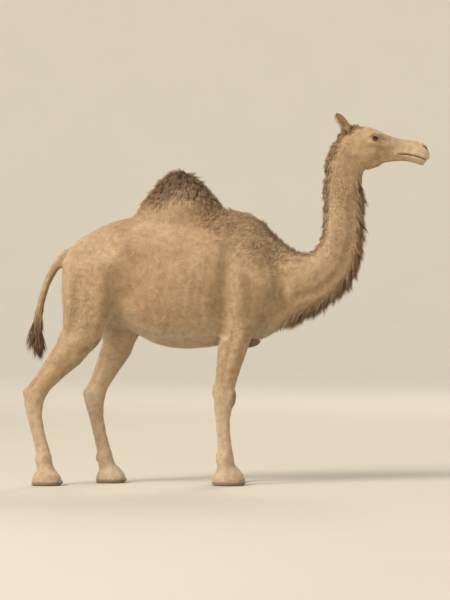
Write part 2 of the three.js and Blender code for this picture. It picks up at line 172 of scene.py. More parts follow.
def unit(vectors):
    return vectors / np.maximum(np.linalg.norm(vectors, axis=-1, keepdims=True), 1e-9)


def read(items, field, width, kind=np.float32):
    """One field of all the items of a mesh, as rows of numbers."""
    values = np.empty(len(items) * width, kind)
    items.foreach_get(field, values)
    return values.reshape(-1, width) if width > 1 else values


def coordinates(mesh):
    return read(mesh.vertices, "co", 3).astype(float)


def normals_of(mesh):
    return read(mesh.vertex_normals, "vector", 3).astype(float)


def edges_of(mesh):
    return read(mesh.edges, "vertices", 2, np.int32)


def move_to(mesh, points):
    mesh.vertices.foreach_set("co", points.astype(np.float32).ravel())
    mesh.update()


def set_attribute(mesh, name, values):
    attribute = mesh.attributes.get(name) or mesh.attributes.new(name, "FLOAT", "POINT")
    attribute.data.foreach_set("value", np.asarray(values, np.float32))


def to_path(points, path):
    """Each point's distance to a broken line, and how far down that line the nearest spot is, 0 to 1."""
    path = np.asarray(path, float)
    best = np.full(len(points), np.inf)
    share = np.zeros(len(points))
    steps = max(len(path) - 1, 1)
    for index in range(steps):
        start, end = path[index], path[min(index + 1, len(path) - 1)]
        way = end - start
        t = np.clip(((points - start) @ way) / max(float(way @ way), 1e-12), 0, 1)
        gap = np.linalg.norm(points - (start + t[:, None] * way), axis=1)
        nearer = gap < best
        best[nearer] = gap[nearer]
        share[nearer] = (index + t[nearer]) / steps
    return best, share


def near(points, path, full, gone):
    """1 within the distance full of a line, falling to 0 at the distance gone."""
    return 1 - smooth_step(full, gone, to_path(points, path)[0])


def add_object(name, mesh):
    """A new object in the scene, at its origin."""
    made = bpy.data.objects.new(name, mesh)
    bpy.context.scene.collection.objects.link(made)
    return made


def mesh_from(shape, name):
    """A bmesh as a mesh; the bmesh is freed."""
    mesh = bpy.data.meshes.new(name)
    shape.to_mesh(mesh)
    shape.free()
    return mesh


def finish_piece(name, mesh, material, replaced=()):
    """A finished piece: smooth, with its material, riding on the body in place of its solids."""
    mesh.polygons.foreach_set("use_smooth", np.ones(len(mesh.polygons), bool))
    mesh.materials.clear()
    mesh.materials.append(material)
    piece = add_object(name, mesh)
    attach(piece, BODY)
    if replaced:
        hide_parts(*replaced)
    return piece


def voxel_remeshed(mesh, size):
    """A mesh as one closed surface of even quads."""
    holder = add_object("remesh", mesh)
    modifier = holder.modifiers.new("remesh", "REMESH")
    modifier.mode = "VOXEL"
    modifier.voxel_size = size
    ready = holder.evaluated_get(bpy.context.evaluated_depsgraph_get())
    result = bpy.data.meshes.new_from_object(ready)
    bpy.data.objects.remove(holder)
    return result


def relaxed(points, edges, times, held=None, swell=0.0):
    """Points drawn towards the mean of their neighbours; held keeps some in place, and swell, about 1,
    undoes the shrinking."""
    count = len(points)
    one, two = edges[:, 0], edges[:, 1]
    degree = np.bincount(one, minlength=count) + np.bincount(two, minlength=count)
    degree = np.maximum(degree, 1)[:, None]
    strength = np.full((count, 1), 0.5) if held is None else 0.5 * (1 - held)[:, None]
    for _ in range(times):
        for step in (1.0, -swell):
            if step:
                sums = [
                    np.bincount(one, points[two, k], count) + np.bincount(two, points[one, k], count)
                    for k in range(3)
                ]
                points = points + step * strength * (np.stack(sums, axis=1) / degree - points)
    return points


LID_THICKNESS = 0.0032
LID_HALF_WIDTH, UPPER_LID, LOWER_LID = 0.0210, 0.0105, -0.0130  # of the opening, from the eye's middle


def eye_axes(side):
    """The eye's middle, and the ways along its lids, up, and out of the head."""
    out = np.array([0.24, side * 0.96, 0.06])
    out /= np.linalg.norm(out)
    along = np.array([COS, 0, -SIN - 0.10])
    along -= (along @ out) * out
    along /= np.linalg.norm(along)
    up = np.cross(along, out) * side
    return np.array(middle_of("eye_left" if side > 0 else "eye_right")), along, up, out


def lid_levels(across):
    """The levels of the upper and lower lid's edge at a place across the eye."""
    bow = np.clip(1 - (across / LID_HALF_WIDTH) ** 2, 0, 1)
    return UPPER_LID * bow**0.62, LOWER_LID * bow**0.72


def lid_edge(side, upper):
    """The edge of one lid, from its inner corner to its outer one."""
    centre, along, up, out = eye_axes(side)
    across = np.linspace(0.98, -0.98, 13) * LID_HALF_WIDTH
    level = lid_levels(across)[0 if upper else 1]
    rise = np.sqrt((EYE_RADIUS + LID_THICKNESS) ** 2 - across**2 - level**2)
    return centre + np.outer(across, along) + np.outer(level, up) + np.outer(rise, out)


# ---- Markings and the lie of the coat -----------------------------------------------------------

BONES = {  # each part's middle line, its usual half-thickness, and its hair's lie; None is along the line
    "trunk": (SPINE, 0.30, (-1.0, 0.0, -0.35)),
    "hump": (HUMP_AXIS, 0.15, (-0.45, 0.0, -1.0)),
    "neck": (NECK[::-1], 0.125, None),
    "head": (MUZZLE[::-1], 0.095, None),
    "tail": (TAIL[1:], 0.04, None),
}
for leg_name, joints in LEGS.items():
    BONES[leg_name] = (joints[1:], 0.10 if "fore" in leg_name else 0.12, None)
for ear_name, line in EARS.items():
    BONES["ear_" + ear_name] = (line + [[0.25], [0.0]] * (line[1] - line[0]), 0.020, None)
BONE_NAMES = list(BONES)


def closeness(points):
    """Each point's distance to every bone, in that bone's half-thicknesses."""
    return np.stack([to_path(points, path)[0] / reach for path, reach, _ in BONES.values()], axis=1)


def hair_flow(points, normals):
    """Which way the hair lies at each point, along the skin."""
    weights = np.exp(-4.0 * closeness(points))
    flow = np.zeros_like(points)
    for index, (path, _, way) in enumerate(BONES.values()):
        if way is None:
            share = to_path(points, path)[1] * (len(path) - 1)
            segment = np.clip(share.astype(int), 0, len(path) - 2)
            ways = unit(path[1:] - path[:-1])[segment]
        else:
            ways = unit(np.array(way))
        flow += weights[:, index : index + 1] * ways
    flow = unit(flow) + np.array([0, 0, -0.25])
    flow -= (flow * normals).sum(axis=1, keepdims=True) * normals
    return unit(flow)


def hair_fields(points):
    """Where the longer hair grows, each 0 to 1."""
    height = points[:, 2]
    return {
        "hump": near(points, HUMP_CREST, 0.06, 0.34) * smooth_step(1.84, 2.08, height),
        "shoulder": near(points, WITHERS, 0.16, 0.38) * smooth_step(1.36, 1.60, height),
        "nape": near(points, NAPE, 0.03, 0.10),
        "throat": near(points, THROAT, 0.035, 0.115) * smooth_step(1.06, 1.22, height),
        "crown": near(points, CROWN, 0.03, 0.085),
        "tail": smooth_step(1.27, 1.12, height) * near(points, TAIL, 0.07, 0.10),
        "face": smooth_step(0.06, 0.16, in_head(points)[:, 0]) * near(points, MUZZLE, 0.16, 0.20),
    }


# Patches of bare hard skin on the legs: which pair, place down the leg, ahead of its axis, out of it, radius.
CALLUSES = [
    ("fore", 3.0, 0.070, 0.0, 0.058),  # knee
    ("fore", 3.10, 0.060, 0.0, 0.045),  # below the knee
    ("fore", 2.32, -0.108, -0.01, 0.042),  # elbow
    ("hind", 2.02, 0.118, 0.01, 0.060),  # stifle
    ("hind", 3.02, -0.090, 0.0, 0.026),  # hock
]
CALLUS_CORE = 0.62  # the share of a callus's radius that is fully bare


def callus_field(points):
    """1 on bare hard skin, 0 where hair grows."""
    bare = np.zeros(len(points))
    for kind, at, ahead, out, radius in CALLUSES:
        for leg in (name for name in LEGS if name.startswith(kind)):
            spot = leg_point(leg, at, ahead, out)
            bare = np.maximum(bare, near(points, [spot], radius * CALLUS_CORE, radius))
    return bare


# The line between the lips, and each nostril's slit with the way that it faces, in the head's own frame.
MOUTH = [(0.635, -0.061), (0.602, -0.061), (0.575, -0.059), (0.545, -0.051), (0.500, -0.043),
         (0.455, -0.039), (0.418, -0.041), (0.398, -0.046)]
NOSTRIL = np.array([
    (0.597, -0.006, 0.038), (0.594, 0.011, 0.039), (0.581, 0.026, 0.040), (0.556, 0.034, 0.044),
])
NOSTRIL_FACING = np.array([0.55, 0.0, 0.835])


def nose_tip(above):
    """How far along the head its front lies on the middle plane, at a level above its axis."""
    start = Vector(head_point(0.9, above))
    found, spot, _, _ = NODES["head"].ray_cast(start, Vector(head_point(0.0, above)) - start)
    if not found:
        raise RuntimeError("the head has no front there")
    return in_head(np.array([spot]))[0, 0]


def mouth_distance(points):
    """Each point's distance, in side view, to the line between the lips, and 1 near its corner."""
    head = in_head(points)
    gap, share = to_path(head * (1, 1, 0), [(along, above, 0.0) for along, above in MOUTH])
    on_muzzle = (head[:, 0] > 0.37) & (np.abs(head[:, 1]) < 0.15) & (np.abs(head[:, 2]) < 0.10)
    return np.where(on_muzzle, gap, 1.0), smooth_step(0.72, 1.0, share)


def nostril_distance(points):
    """Each point's distance to the nostril of its side, seen along the way that the nostril faces; it
    counts for more towards the slit's ends, so that they narrow."""
    head = in_head(points)
    mirrored = np.stack([head[:, 0], head[:, 1], np.abs(head[:, 2])], axis=1)
    slit = np.array([curve_at(NOSTRIL, at) for at in np.linspace(0, 3, 13)])
    seen, line = (rows - np.outer(rows @ NOSTRIL_FACING, NOSTRIL_FACING) for rows in (mirrored, slit))
    gap, share = to_path(seen, line)
    width = 0.38 + 0.62 * np.sin(math.pi * share) ** 0.8
    return np.where((head[:, 0] > 0.5) & (mirrored[:, 2] > 0.008), gap / width, 1.0)


DARKNESS = {"hump": 0.72, "shoulder": 0.24, "nape": 0.50, "throat": 0.70, "crown": 0.60, "tail": 0.95}
BACK_DARKNESS = 0.30  # along the back
PAD_EDGE = (0.034, 0.018)  # levels between which hair gives way to the foot's pad


def markings(points, fields=None):
    """What colours the skin and coat at each point: dark hair, pale hair, bare callus, and bare moist skin,
    which along the line between the lips and inside the nostril slits is also painted shade.
    """
    fields = fields or hair_fields(points)
    head = in_head(points)
    height = points[:, 2]
    back = BACK_DARKNESS * near(points, SPINE + (0, 0, 0.42), 0.04, 0.20)
    dark = np.maximum.reduce([share * fields[field] for field, share in DARKNESS.items()] + [back])
    legs = np.max([near(points, joints, 0.10, 0.18) for joints in LEGS.values()], axis=0)
    belly = smooth_step(1.22, 0.98, height) * near(points, SPINE, 0.42, 0.60) * (1 - legs)
    groin = near(points, placed([(-0.85, 1.15), (-0.60, 1.05)]), 0.12, 0.30)
    inner = smooth_step(0.150, 0.085, np.abs(points[:, 1])) * smooth_step(1.30, 1.0, height)
    lips = near(head, [(0.62, -0.03, 0.0), (0.54, -0.07, 0.0)], 0.05, 0.11)
    shins = 0.35 * smooth_step(0.80, 0.35, height)
    pale = np.maximum.reduce([0.80 * belly, 0.65 * groin, 0.60 * inner, 0.6 * lips, shins])
    gap, corner = mouth_distance(points)
    # Dark moist skin of the lips, nostrils and lid edges. Along the line between the lips and inside the
    # nostril slits it is also painted shade, for the shade of the mouth's crease and of the nostrils'
    # openings.
    moist = (0.80 - 0.25 * corner) * smooth_step(0.0062 - 0.0026 * corner, 0.0010, gap)
    moist = np.maximum(moist, 0.9 * smooth_step(0.0066, 0.0022, nostril_distance(points)))
    for side in SIDES.values():
        for upper in (True, False):
            moist = np.maximum(moist, near(points, lid_edge(side, upper), 0.0026, 0.0060))
    return {
        "dark": np.clip(dark, 0, 1),
        "pale": np.clip(pale * (1 - dark), 0, 1),
        "bare": np.maximum(callus_field(points), smooth_step(*PAD_EDGE, height)),
        "moist": moist,
    }


SHORT_DEPTH, LESS_ON_LEGS, FOOT_DEPTH = 0.011, 0.007, 0.0015  # the short coat's, lower down, and on feet
LONG_DEPTHS = {
    "hump": 0.034, "shoulder": 0.020, "nape": 0.018, "throat": 0.036, "crown": 0.016, "tail": 0.022,
}
FOOT_TOP = 0.14


def coat_depth(points):
    """How far the skin lies inside the coat's outline."""
    fields = hair_fields(points)
    nearest = np.argmin(closeness(points), axis=1)
    legs = np.isin(nearest, [BONE_NAMES.index(leg) for leg in LEGS])
    low = smooth_step(1.15, 0.85, points[:, 2])
    depth = SHORT_DEPTH - LESS_ON_LEGS * low
    depth = depth * (1 - 0.75 * fields["face"])
    for field, most in LONG_DEPTHS.items():
        depth = np.maximum(depth, most * fields[field])
    return np.where(legs & (points[:, 2] < FOOT_TOP), FOOT_DEPTH, depth) * (1 - 0.8 * callus_field(points))


# ---- Skin ---------------------------------------------------------------------------------------

NECK_CUT = Vector((0.83, 0.0, 2.145))  # the head is modelled more finely above this sloping cut
NECK_CUT_SLOPE = Vector((0.40, 0.0, 0.92))
NECK_CUT_GAP = 0.005
SHRINK_STEPS = 3

# Muscles and bones under the skin of each flank: x and z along a line, radius of the stroke, height.
FLANK_STROKES = [
    ("shoulder blade", [(0.20, 1.80), (0.165, 1.62), (0.235, 1.42)], 0.075, 0.009),
    ("behind the shoulder blade", [(0.040, 1.66), (0.020, 1.50), (0.000, 1.30)], 0.080, -0.012),
    ("point of the shoulder", [(0.300, 1.37)], 0.100, 0.014),
    ("triceps", [(0.10, 1.44), (0.10, 1.24)], 0.100, 0.017),
    ("behind the elbow", [(-0.020, 1.24), (-0.030, 1.06)], 0.065, -0.014),
    ("before the upper arm", [(0.345, 1.60), (0.400, 1.42), (0.370, 1.22)], 0.075, -0.012),
    ("flank hollow", [(-0.62, 1.52), (-0.64, 1.34)], 0.160, -0.024),
    ("last rib", [(-0.46, 1.56), (-0.52, 1.34), (-0.44, 1.14)], 0.070, 0.007),
    ("hip bone", [(-0.730, 1.700)], 0.120, 0.015),
    ("croup", [(-0.80, 1.66), (-0.99, 1.58)], 0.080, -0.007),
    ("pin bone", [(-1.080, 1.535)], 0.075, 0.012),
    ("neck muscle", [(0.40, 1.52), (0.58, 1.47), (0.72, 1.60), (0.765, 1.85), (0.77, 2.00)], 0.070, 0.0045),
    ("jugular groove", [(0.50, 1.30), (0.66, 1.35), (0.82, 1.50), (0.89, 1.74), (0.885, 1.98)],
     0.048, -0.0065),
    ("foot of the hump", [(-0.58, 1.87), (-0.40, 1.84), (-0.18, 1.86), (-0.04, 1.92)], 0.080, -0.005),
]
RIB_COUNT, RIB_PITCH, FIRST_RIB = 6, 0.068, -0.090
FLANK_RELIEF, LEG_RELIEF = 1.75, 1.25  # how strongly muscles and bones are raised


def outer_and_inner(name, start, end, radius, height):
    """A stroke on a leg's outer side and the same on its inner side."""
    ends = [(at, ahead, -out) for at, ahead, out in (start, end)]
    return [(name + ", outer", start, end, radius, height), (name + ", inner", *ends, radius, height)]


# The same on a leg: place down it, ahead of its axis, out of it, at two ends, then radius and height.
FORE_STROKES = [
    ("extensors", (2.15, 0.030, 0.050), (2.62, 0.020, 0.045), 0.050, 0.010),
    ("outer groove", (2.15, -0.025, 0.070), (2.80, -0.020, 0.050), 0.022, -0.007),
    ("inner groove", (2.20, -0.015, -0.070), (2.80, -0.010, -0.050), 0.022, -0.006),
    *outer_and_inner("knee edge", (2.95, 0.045, 0.042), (3.08, 0.040, 0.038), 0.038, 0.011),
    ("knee pad", (2.97, 0.074, 0.0), (3.08, 0.066, 0.0), 0.044, 0.009),
    ("bone behind the knee", (2.91, -0.072, 0.0), (2.97, -0.072, 0.0), 0.042, 0.011),
    *outer_and_inner("before the tendon", (3.22, -0.016, 0.042), (3.80, -0.014, 0.036), 0.015, -0.007),
]
HIND_STROKES = [
    ("thigh, front", (1.0, 0.090, 0.080), (1.75, 0.080, 0.080), 0.100, 0.012),
    ("hamstring groove", (1.25, -0.085, 0.110), (2.10, -0.075, 0.080), 0.050, -0.013),
    ("hamstring", (1.15, -0.150, 0.080), (1.90, -0.120, 0.060), 0.080, 0.010),
    ("kneecap", (1.96, 0.100, 0.035), (2.05, 0.100, 0.035), 0.075, 0.009),
    ("below the kneecap", (2.14, 0.080, 0.050), (2.20, 0.070, 0.045), 0.040, -0.007),
    ("calf", (2.12, -0.040, 0.055), (2.45, -0.035, 0.040), 0.052, 0.010),
    *outer_and_inner("hock hollow", (2.52, -0.046, 0.036), (2.90, -0.046, 0.030), 0.024, -0.011),
    ("point of the hock", (2.955, -0.088, 0.0), (2.985, -0.086, 0.0), 0.030, 0.006),
    *outer_and_inner("hock bump", (3.02, 0.012, 0.048), (3.07, 0.012, 0.045), 0.030, 0.006),
    *outer_and_inner("before the tendon", (3.25, -0.014, 0.038), (3.80, -0.013, 0.034), 0.015, -0.007),
]
FETLOCK_STROKES = [
    *outer_and_inner("bump", (3.98, -0.006, 0.050), (4.04, -0.006, 0.050), 0.030, 0.006),
    ("back", (4.00, -0.056, 0.0), (4.06, -0.058, 0.0), 0.030, 0.008),
]

# The same on each side of the face, in the head's own frame: along and above.
FACE_STROKES = [
    ("cheekbone", [(0.140, 0.030), (0.205, 0.008), (0.280, 0.006), (0.345, 0.004)], 0.026, 0.0070),
    ("before the eye", [(0.268, 0.054), (0.335, 0.044)], 0.030, -0.0095),
    ("temple", [(0.125, 0.080), (0.165, 0.078)], 0.028, -0.0100),
    ("cheek", [(0.110, -0.060), (0.165, -0.105)], 0.070, 0.0100),
    ("jaw edge", [(0.350, -0.086), (0.250, -0.116), (0.160, -0.150)], 0.016, 0.0050),
    ("before the cheek", [(0.268, -0.035), (0.262, -0.095)], 0.036, -0.0070),
    ("cheek muscle", [(0.290, -0.012), (0.350, -0.030), (0.400, -0.030)], 0.014, 0.0032),
    ("side of the muzzle", [(0.430, 0.010), (0.350, 0.014)], 0.030, -0.0070),
    ("corner of the mouth", [(0.378, -0.048)], 0.022, 0.0050),
    ("upper lip", [(0.520, -0.014), (0.585, -0.026)], 0.040, 0.0060),
    ("nose bone", [(0.340, 0.072), (0.460, 0.060)], 0.016, 0.0030),
    ("over the nostril", [(0.552, 0.050), (0.580, 0.040)], 0.020, 0.0060),
    ("root of the ear", [(0.020, 0.080)], 0.034, 0.0060),
    ("brow", [(0.174, 0.068), (0.206, 0.082), (0.244, 0.077), (0.264, 0.060)], 0.020, 0.0095),
    ("under the eye", [(0.186, 0.022), (0.216, 0.015), (0.246, 0.022)], 0.014, 0.0035),
]

MIDDLE_STROKES = [  # the same on the head's middle plane
    ("chin", [(0.575, -0.096)], 0.034, 0.006),
    ("lower lip, behind the upper", [(0.615, -0.086)], 0.042, -0.013),
    ("front of the upper lip", [(0.614, -0.024)], 0.034, 0.006),
    ("edge of the upper lip", [(0.648, -0.066)], 0.034, -0.007),
    ("angle of the jaw", [(0.205, -0.150), (0.255, -0.136)], 0.062, 0.015),
    ("bridge of the nose", [(0.30, 0.10), (0.42, 0.075)], 0.030, -0.003),
]


def push(points, normals, path, radius, height, flat=False, weight=None):
    """Moves the points near a line outwards by height, fading out at radius. A flat line is matched in
    side view only."""
    spots = points * (1, 0, 1) if flat else points
    gap = to_path(spots, path)[0] / radius
    lump = np.where(gap < 1, (1 - gap * gap) ** 2, 0) * height
    if weight is not None:
        lump = lump * weight
    return points + lump[:, None] * normals


def shape_body(mesh):
    """Raises the muscles and bones of trunk, neck and legs."""
    points, normals = coordinates(mesh), normals_of(mesh)
    ribs = []
    for index in range(RIB_COUNT):
        x = FIRST_RIB - RIB_PITCH * index
        ribs.append(("rib", [(x + 0.010, 1.52), (x - 0.035, 1.32), (x - 0.045, 1.16)], 0.031, 0.0030))
    for side in SIDES.values():
        facing = smooth_step(0.15, 0.55, normals[:, 1] * side)
        for _, rows, radius, height in FLANK_STROKES + ribs:
            points = push(points, normals, placed(rows), radius, FLANK_RELIEF * height, True, facing)
    for leg in LEGS:
        strokes = FORE_STROKES if leg.startswith("fore") else HIND_STROKES
        for _, start, end, radius, height in strokes + FETLOCK_STROKES:
            middle = tuple((a + b) / 2 for a, b in zip(start, end))
            path = [leg_point(leg, *spot) for spot in (start, middle, end)]
            points = push(points, normals, path, radius, LEG_RELIEF * height)
    backbone = placed([(-0.70, 1.875), (-0.90, 1.82), (-1.06, 1.70)])
    points = push(points, normals, backbone, 0.05, 0.008)
    breast = placed([(0.47, 1.16), (0.40, 1.08), (0.30, 1.02)])
    points = push(points, normals, breast, 0.05, -0.008)
    return points


CLEFT = [(0.115, 0.090), (0.045, 0.052), (-0.004, 0.012)]  # between the toes: behind the foot's front, level
TOE = [(0.085, 0.047, 0.075), (0.022, 0.044, 0.050)]  # behind the front, out from the foot's middle, level


def shape_feet(mesh, points):
    """Two toes with a cleft between them over one broad pad with a firm edge."""
    normals = normals_of(mesh)
    for leg in LEGS:
        low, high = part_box(leg + "_foot")
        front, middle = high.x, LEGS[leg][5][1]
        cleft = [(front - back, middle, level) for back, level in CLEFT]
        mine = near(points, [(low.x + 0.11, middle, 0.05)], 0.16, 0.17)
        points = push(points, normals, cleft, 0.026, -0.024, weight=mine)
        for side in (1, -1):
            toe = [(front - back, middle + side * out, level) for back, out, level in TOE]
            points = push(points, normals, toe, 0.038, 0.011, weight=mine)
        edge = np.exp(-(((points[:, 2] - 0.031) / 0.008) ** 2)) * mine * (np.abs(normals[:, 2]) < 0.85)
        points = points - 0.005 * edge[:, None] * normals
    sole = smooth_step(0.010, 0.0, points[:, 2])
    points[:, 2] = np.maximum(points[:, 2] * (1 - sole), 0.0005)
    return points


def merged_nodes(names, proud):
    """The named nodes as one bmesh, each swollen a little so that they run into each other."""
    shape = bmesh.new()
    for name in names:
        part = bmesh.new()
        part.from_mesh(NODES[name].data)
        bmesh.ops.remove_doubles(part, verts=part.verts, dist=1e-5)
        part.normal_update()
        for vert in part.verts:
            vert.co += vert.normal * proud
        copy = mesh_from(part, "part")
        shape.from_mesh(copy)
        bpy.data.meshes.remove(copy)
    return shape


EAR_WIDTH, EAR_DEPTH, EAR_WALL = 0.064, 0.036, 0.0055


def ear_shape(side):
    """An oval shell from root to tip, cupped in front."""
    root, tip = (Vector(spot) for spot in EARS["left" if side > 0 else "right"])
    shape = bmesh.new()
    bmesh.ops.create_uvsphere(shape, u_segments=32, v_segments=24, radius=1.0)
    half_length, half_width, half_depth = (tip - root).length / 2, EAR_WIDTH / 2, EAR_DEPTH / 2
    for vert in shape.verts:
        x, y, z = vert.co
        height = (z + 1) / 2
        rounder = math.sqrt(1 + max(z, 0.0) ** 2)
        taper = rounder * (1.0 - 0.16 * smooth_step(0.5, 1.0, height))
        taper *= 0.72 + 0.28 * smooth_step(0.0, 0.4, height)
        hollow = float(smooth_step(0.22, 0.42, height)) if x > 0 else 0.0
        front = -x * (half_depth - EAR_WALL)
        vert.co.x = x * half_depth * (1 - hollow) + hollow * front
        vert.co.x += 0.012 * y * y - 0.008 * height * height
        vert.co.y = y * half_width * taper
        vert.co.z = z * half_length
    up = (tip - root).normalized()
    facing = Vector((0.55, side * 0.80, 0.22))
    front = (facing - up * facing.dot(up)).normalized()
    turn = Matrix((front, up.cross(front), up)).transposed().to_4x4()
    bmesh.ops.transform(shape, matrix=Matrix.Translation((root + tip) / 2) @ turn, verts=shape.verts)
    return shape


def half_cut(mesh, above):
    """The part of a mesh on one side of the sloping cut through the neck."""
    shape = bmesh.new()
    shape.from_mesh(mesh)
    shift = NECK_CUT_SLOPE.normalized() * NECK_CUT_GAP * (1 if above else -1)
    bmesh.ops.bisect_plane(
        shape,
        geom=shape.verts[:] + shape.edges[:] + shape.faces[:],
        plane_co=NECK_CUT + shift,
        plane_no=NECK_CUT_SLOPE,
        clear_inner=above,
        clear_outer=not above,
    )
    bmesh.ops.remove_doubles(shape, verts=[v for v in shape.verts if v.is_boundary], dist=0.0015)
    return shape


def stitched(lower, upper):
    """Two open shells as one closed bmesh, their rims bridged."""
    shape = bmesh.new()
    for part in (lower, upper):
        mesh = mesh_from(part, "half")
        shape.from_mesh(mesh)
        bpy.data.meshes.remove(mesh)
    bmesh.ops.bridge_loops(shape, edges=[edge for edge in shape.edges if edge.is_boundary])
    bmesh.ops.recalc_face_normals(shape, faces=shape.faces)
    return shape


def refine(mesh, wanted):
    """Splits the faces whose corners lie where wanted, a test of points, is true."""
    shape = bmesh.new()
    shape.from_mesh(mesh)
    shape.verts.ensure_lookup_table()
    chosen = wanted(coordinates(mesh))
    edges = [edge for edge in shape.edges if chosen[edge.verts[0].index] and chosen[edge.verts[1].index]]
    bmesh.ops.subdivide_edges(shape, edges=edges, cuts=1, use_grid_fill=True)
    bmesh.ops.triangulate(shape, faces=[face for face in shape.faces if len(face.verts) > 4])
    return mesh_from(shape, "skin")


def eye_distance(points):
    """Each point's distance to the front of the nearer eye."""
    spots = [eye_axes(side)[0] + 0.55 * EYE_RADIUS * eye_axes(side)[3] for side in SIDES.values()]
    return np.min([to_path(points, [spot])[0] for spot in spots], axis=0)


def shape_face(mesh):
    """Cheekbones, hollows, jaw and the broad forms of the muzzle."""
    points, normals = coordinates(mesh), normals_of(mesh)
    on_head = smooth_step(-0.02, 0.03, in_head(points)[:, 0]) * (points[:, 2] > 2.05)
    for side in SIDES.values():
        facing = smooth_step(0.10, 0.55, normals[:, 1] * side) * on_head
        for _, rows, radius, height in FACE_STROKES:
            path = [head_point(along, above) for along, above in rows]
            points = push(points, normals, path, radius, height, True, facing)
    for _, rows, radius, height in MIDDLE_STROKES:
        points = push(points, normals, [head_point(along, above) for along, above in rows], radius, height)
    return points


def shape_mouth(mesh):
    """The lips, the split in the upper one, and the slit nostrils."""
    points, normals = coordinates(mesh), normals_of(mesh)
    gap, corner = mouth_distance(points)
    fading = (gap < 0.5) * (1 - 0.65 * corner)
    for drop, radius, height in ((0.014, 0.016, 0.0040), (-0.012, 0.013, 0.0026), (0.0, 0.0062, -0.0085)):
        path = [head_point(along, above + drop) for along, above in MOUTH]
        points = push(points, normals, path, radius, height, True, fading)
    facing = head_point(*NOSTRIL_FACING) - head_point(0, 0)
    facing = facing * np.where(points[:, 1:2] > 0, 1, (1, -1, 1))
    for radius, height in ((0.022, 0.0055), (0.0060, -0.0125)):
        gap = nostril_distance(points) / radius
        points = points + (np.where(gap < 1, (1 - gap * gap) ** 2, 0) * height)[:, None] * facing
    split = [head_point(nose_tip(above) - 0.002, above) for above in (0.006, -0.014, -0.034, -0.048)]
    return push(points, normals, split, 0.0095, -0.0085)


def shape_lids(mesh):
    """Wraps the skin round each eyeball and opens the lids over it."""
    points = coordinates(mesh)
    for side in SIDES.values():
        centre, along, up, out = eye_axes(side)
        away = points - centre
        reach = np.linalg.norm(away, axis=1)
        a, b, c = away @ along, away @ up, away @ out
        spread = np.hypot(a, b)
        close = (reach < 0.05) & (c > -0.006) & (away[:, 1] * side > -0.02)
        lid = EYE_RADIUS + LID_THICKNESS
        hug = 1 - smooth_step(0.021, 0.036, spread)
        wanted = np.where(reach > lid, lid + (reach - lid) * (1 - hug), lid)
        upper, lower = lid_levels(a)
        inside = np.minimum(upper - b, b - lower)
        inside = np.where(np.abs(a) < LID_HALF_WIDTH, inside, -1)
        wanted = wanted - (wanted - EYE_RADIUS * 0.68) * smooth_step(-0.0005, 0.0013, inside)
        crease = np.exp(-(((b - upper - 0.0075) / 0.0016) ** 2)) * smooth_step(0.026, 0.018, np.abs(a))
        wanted = wanted - 0.0016 * crease * (b > 0)
        fold = np.exp(-(((b - lower + 0.0065) / 0.0016) ** 2)) * smooth_step(0.024, 0.016, np.abs(a))
        wanted = wanted - 0.0010 * fold * (b < 0)
        factor = np.where(close, wanted / np.maximum(reach, 1e-6), 1)
        points = centre + away * factor[:, None]
    return points


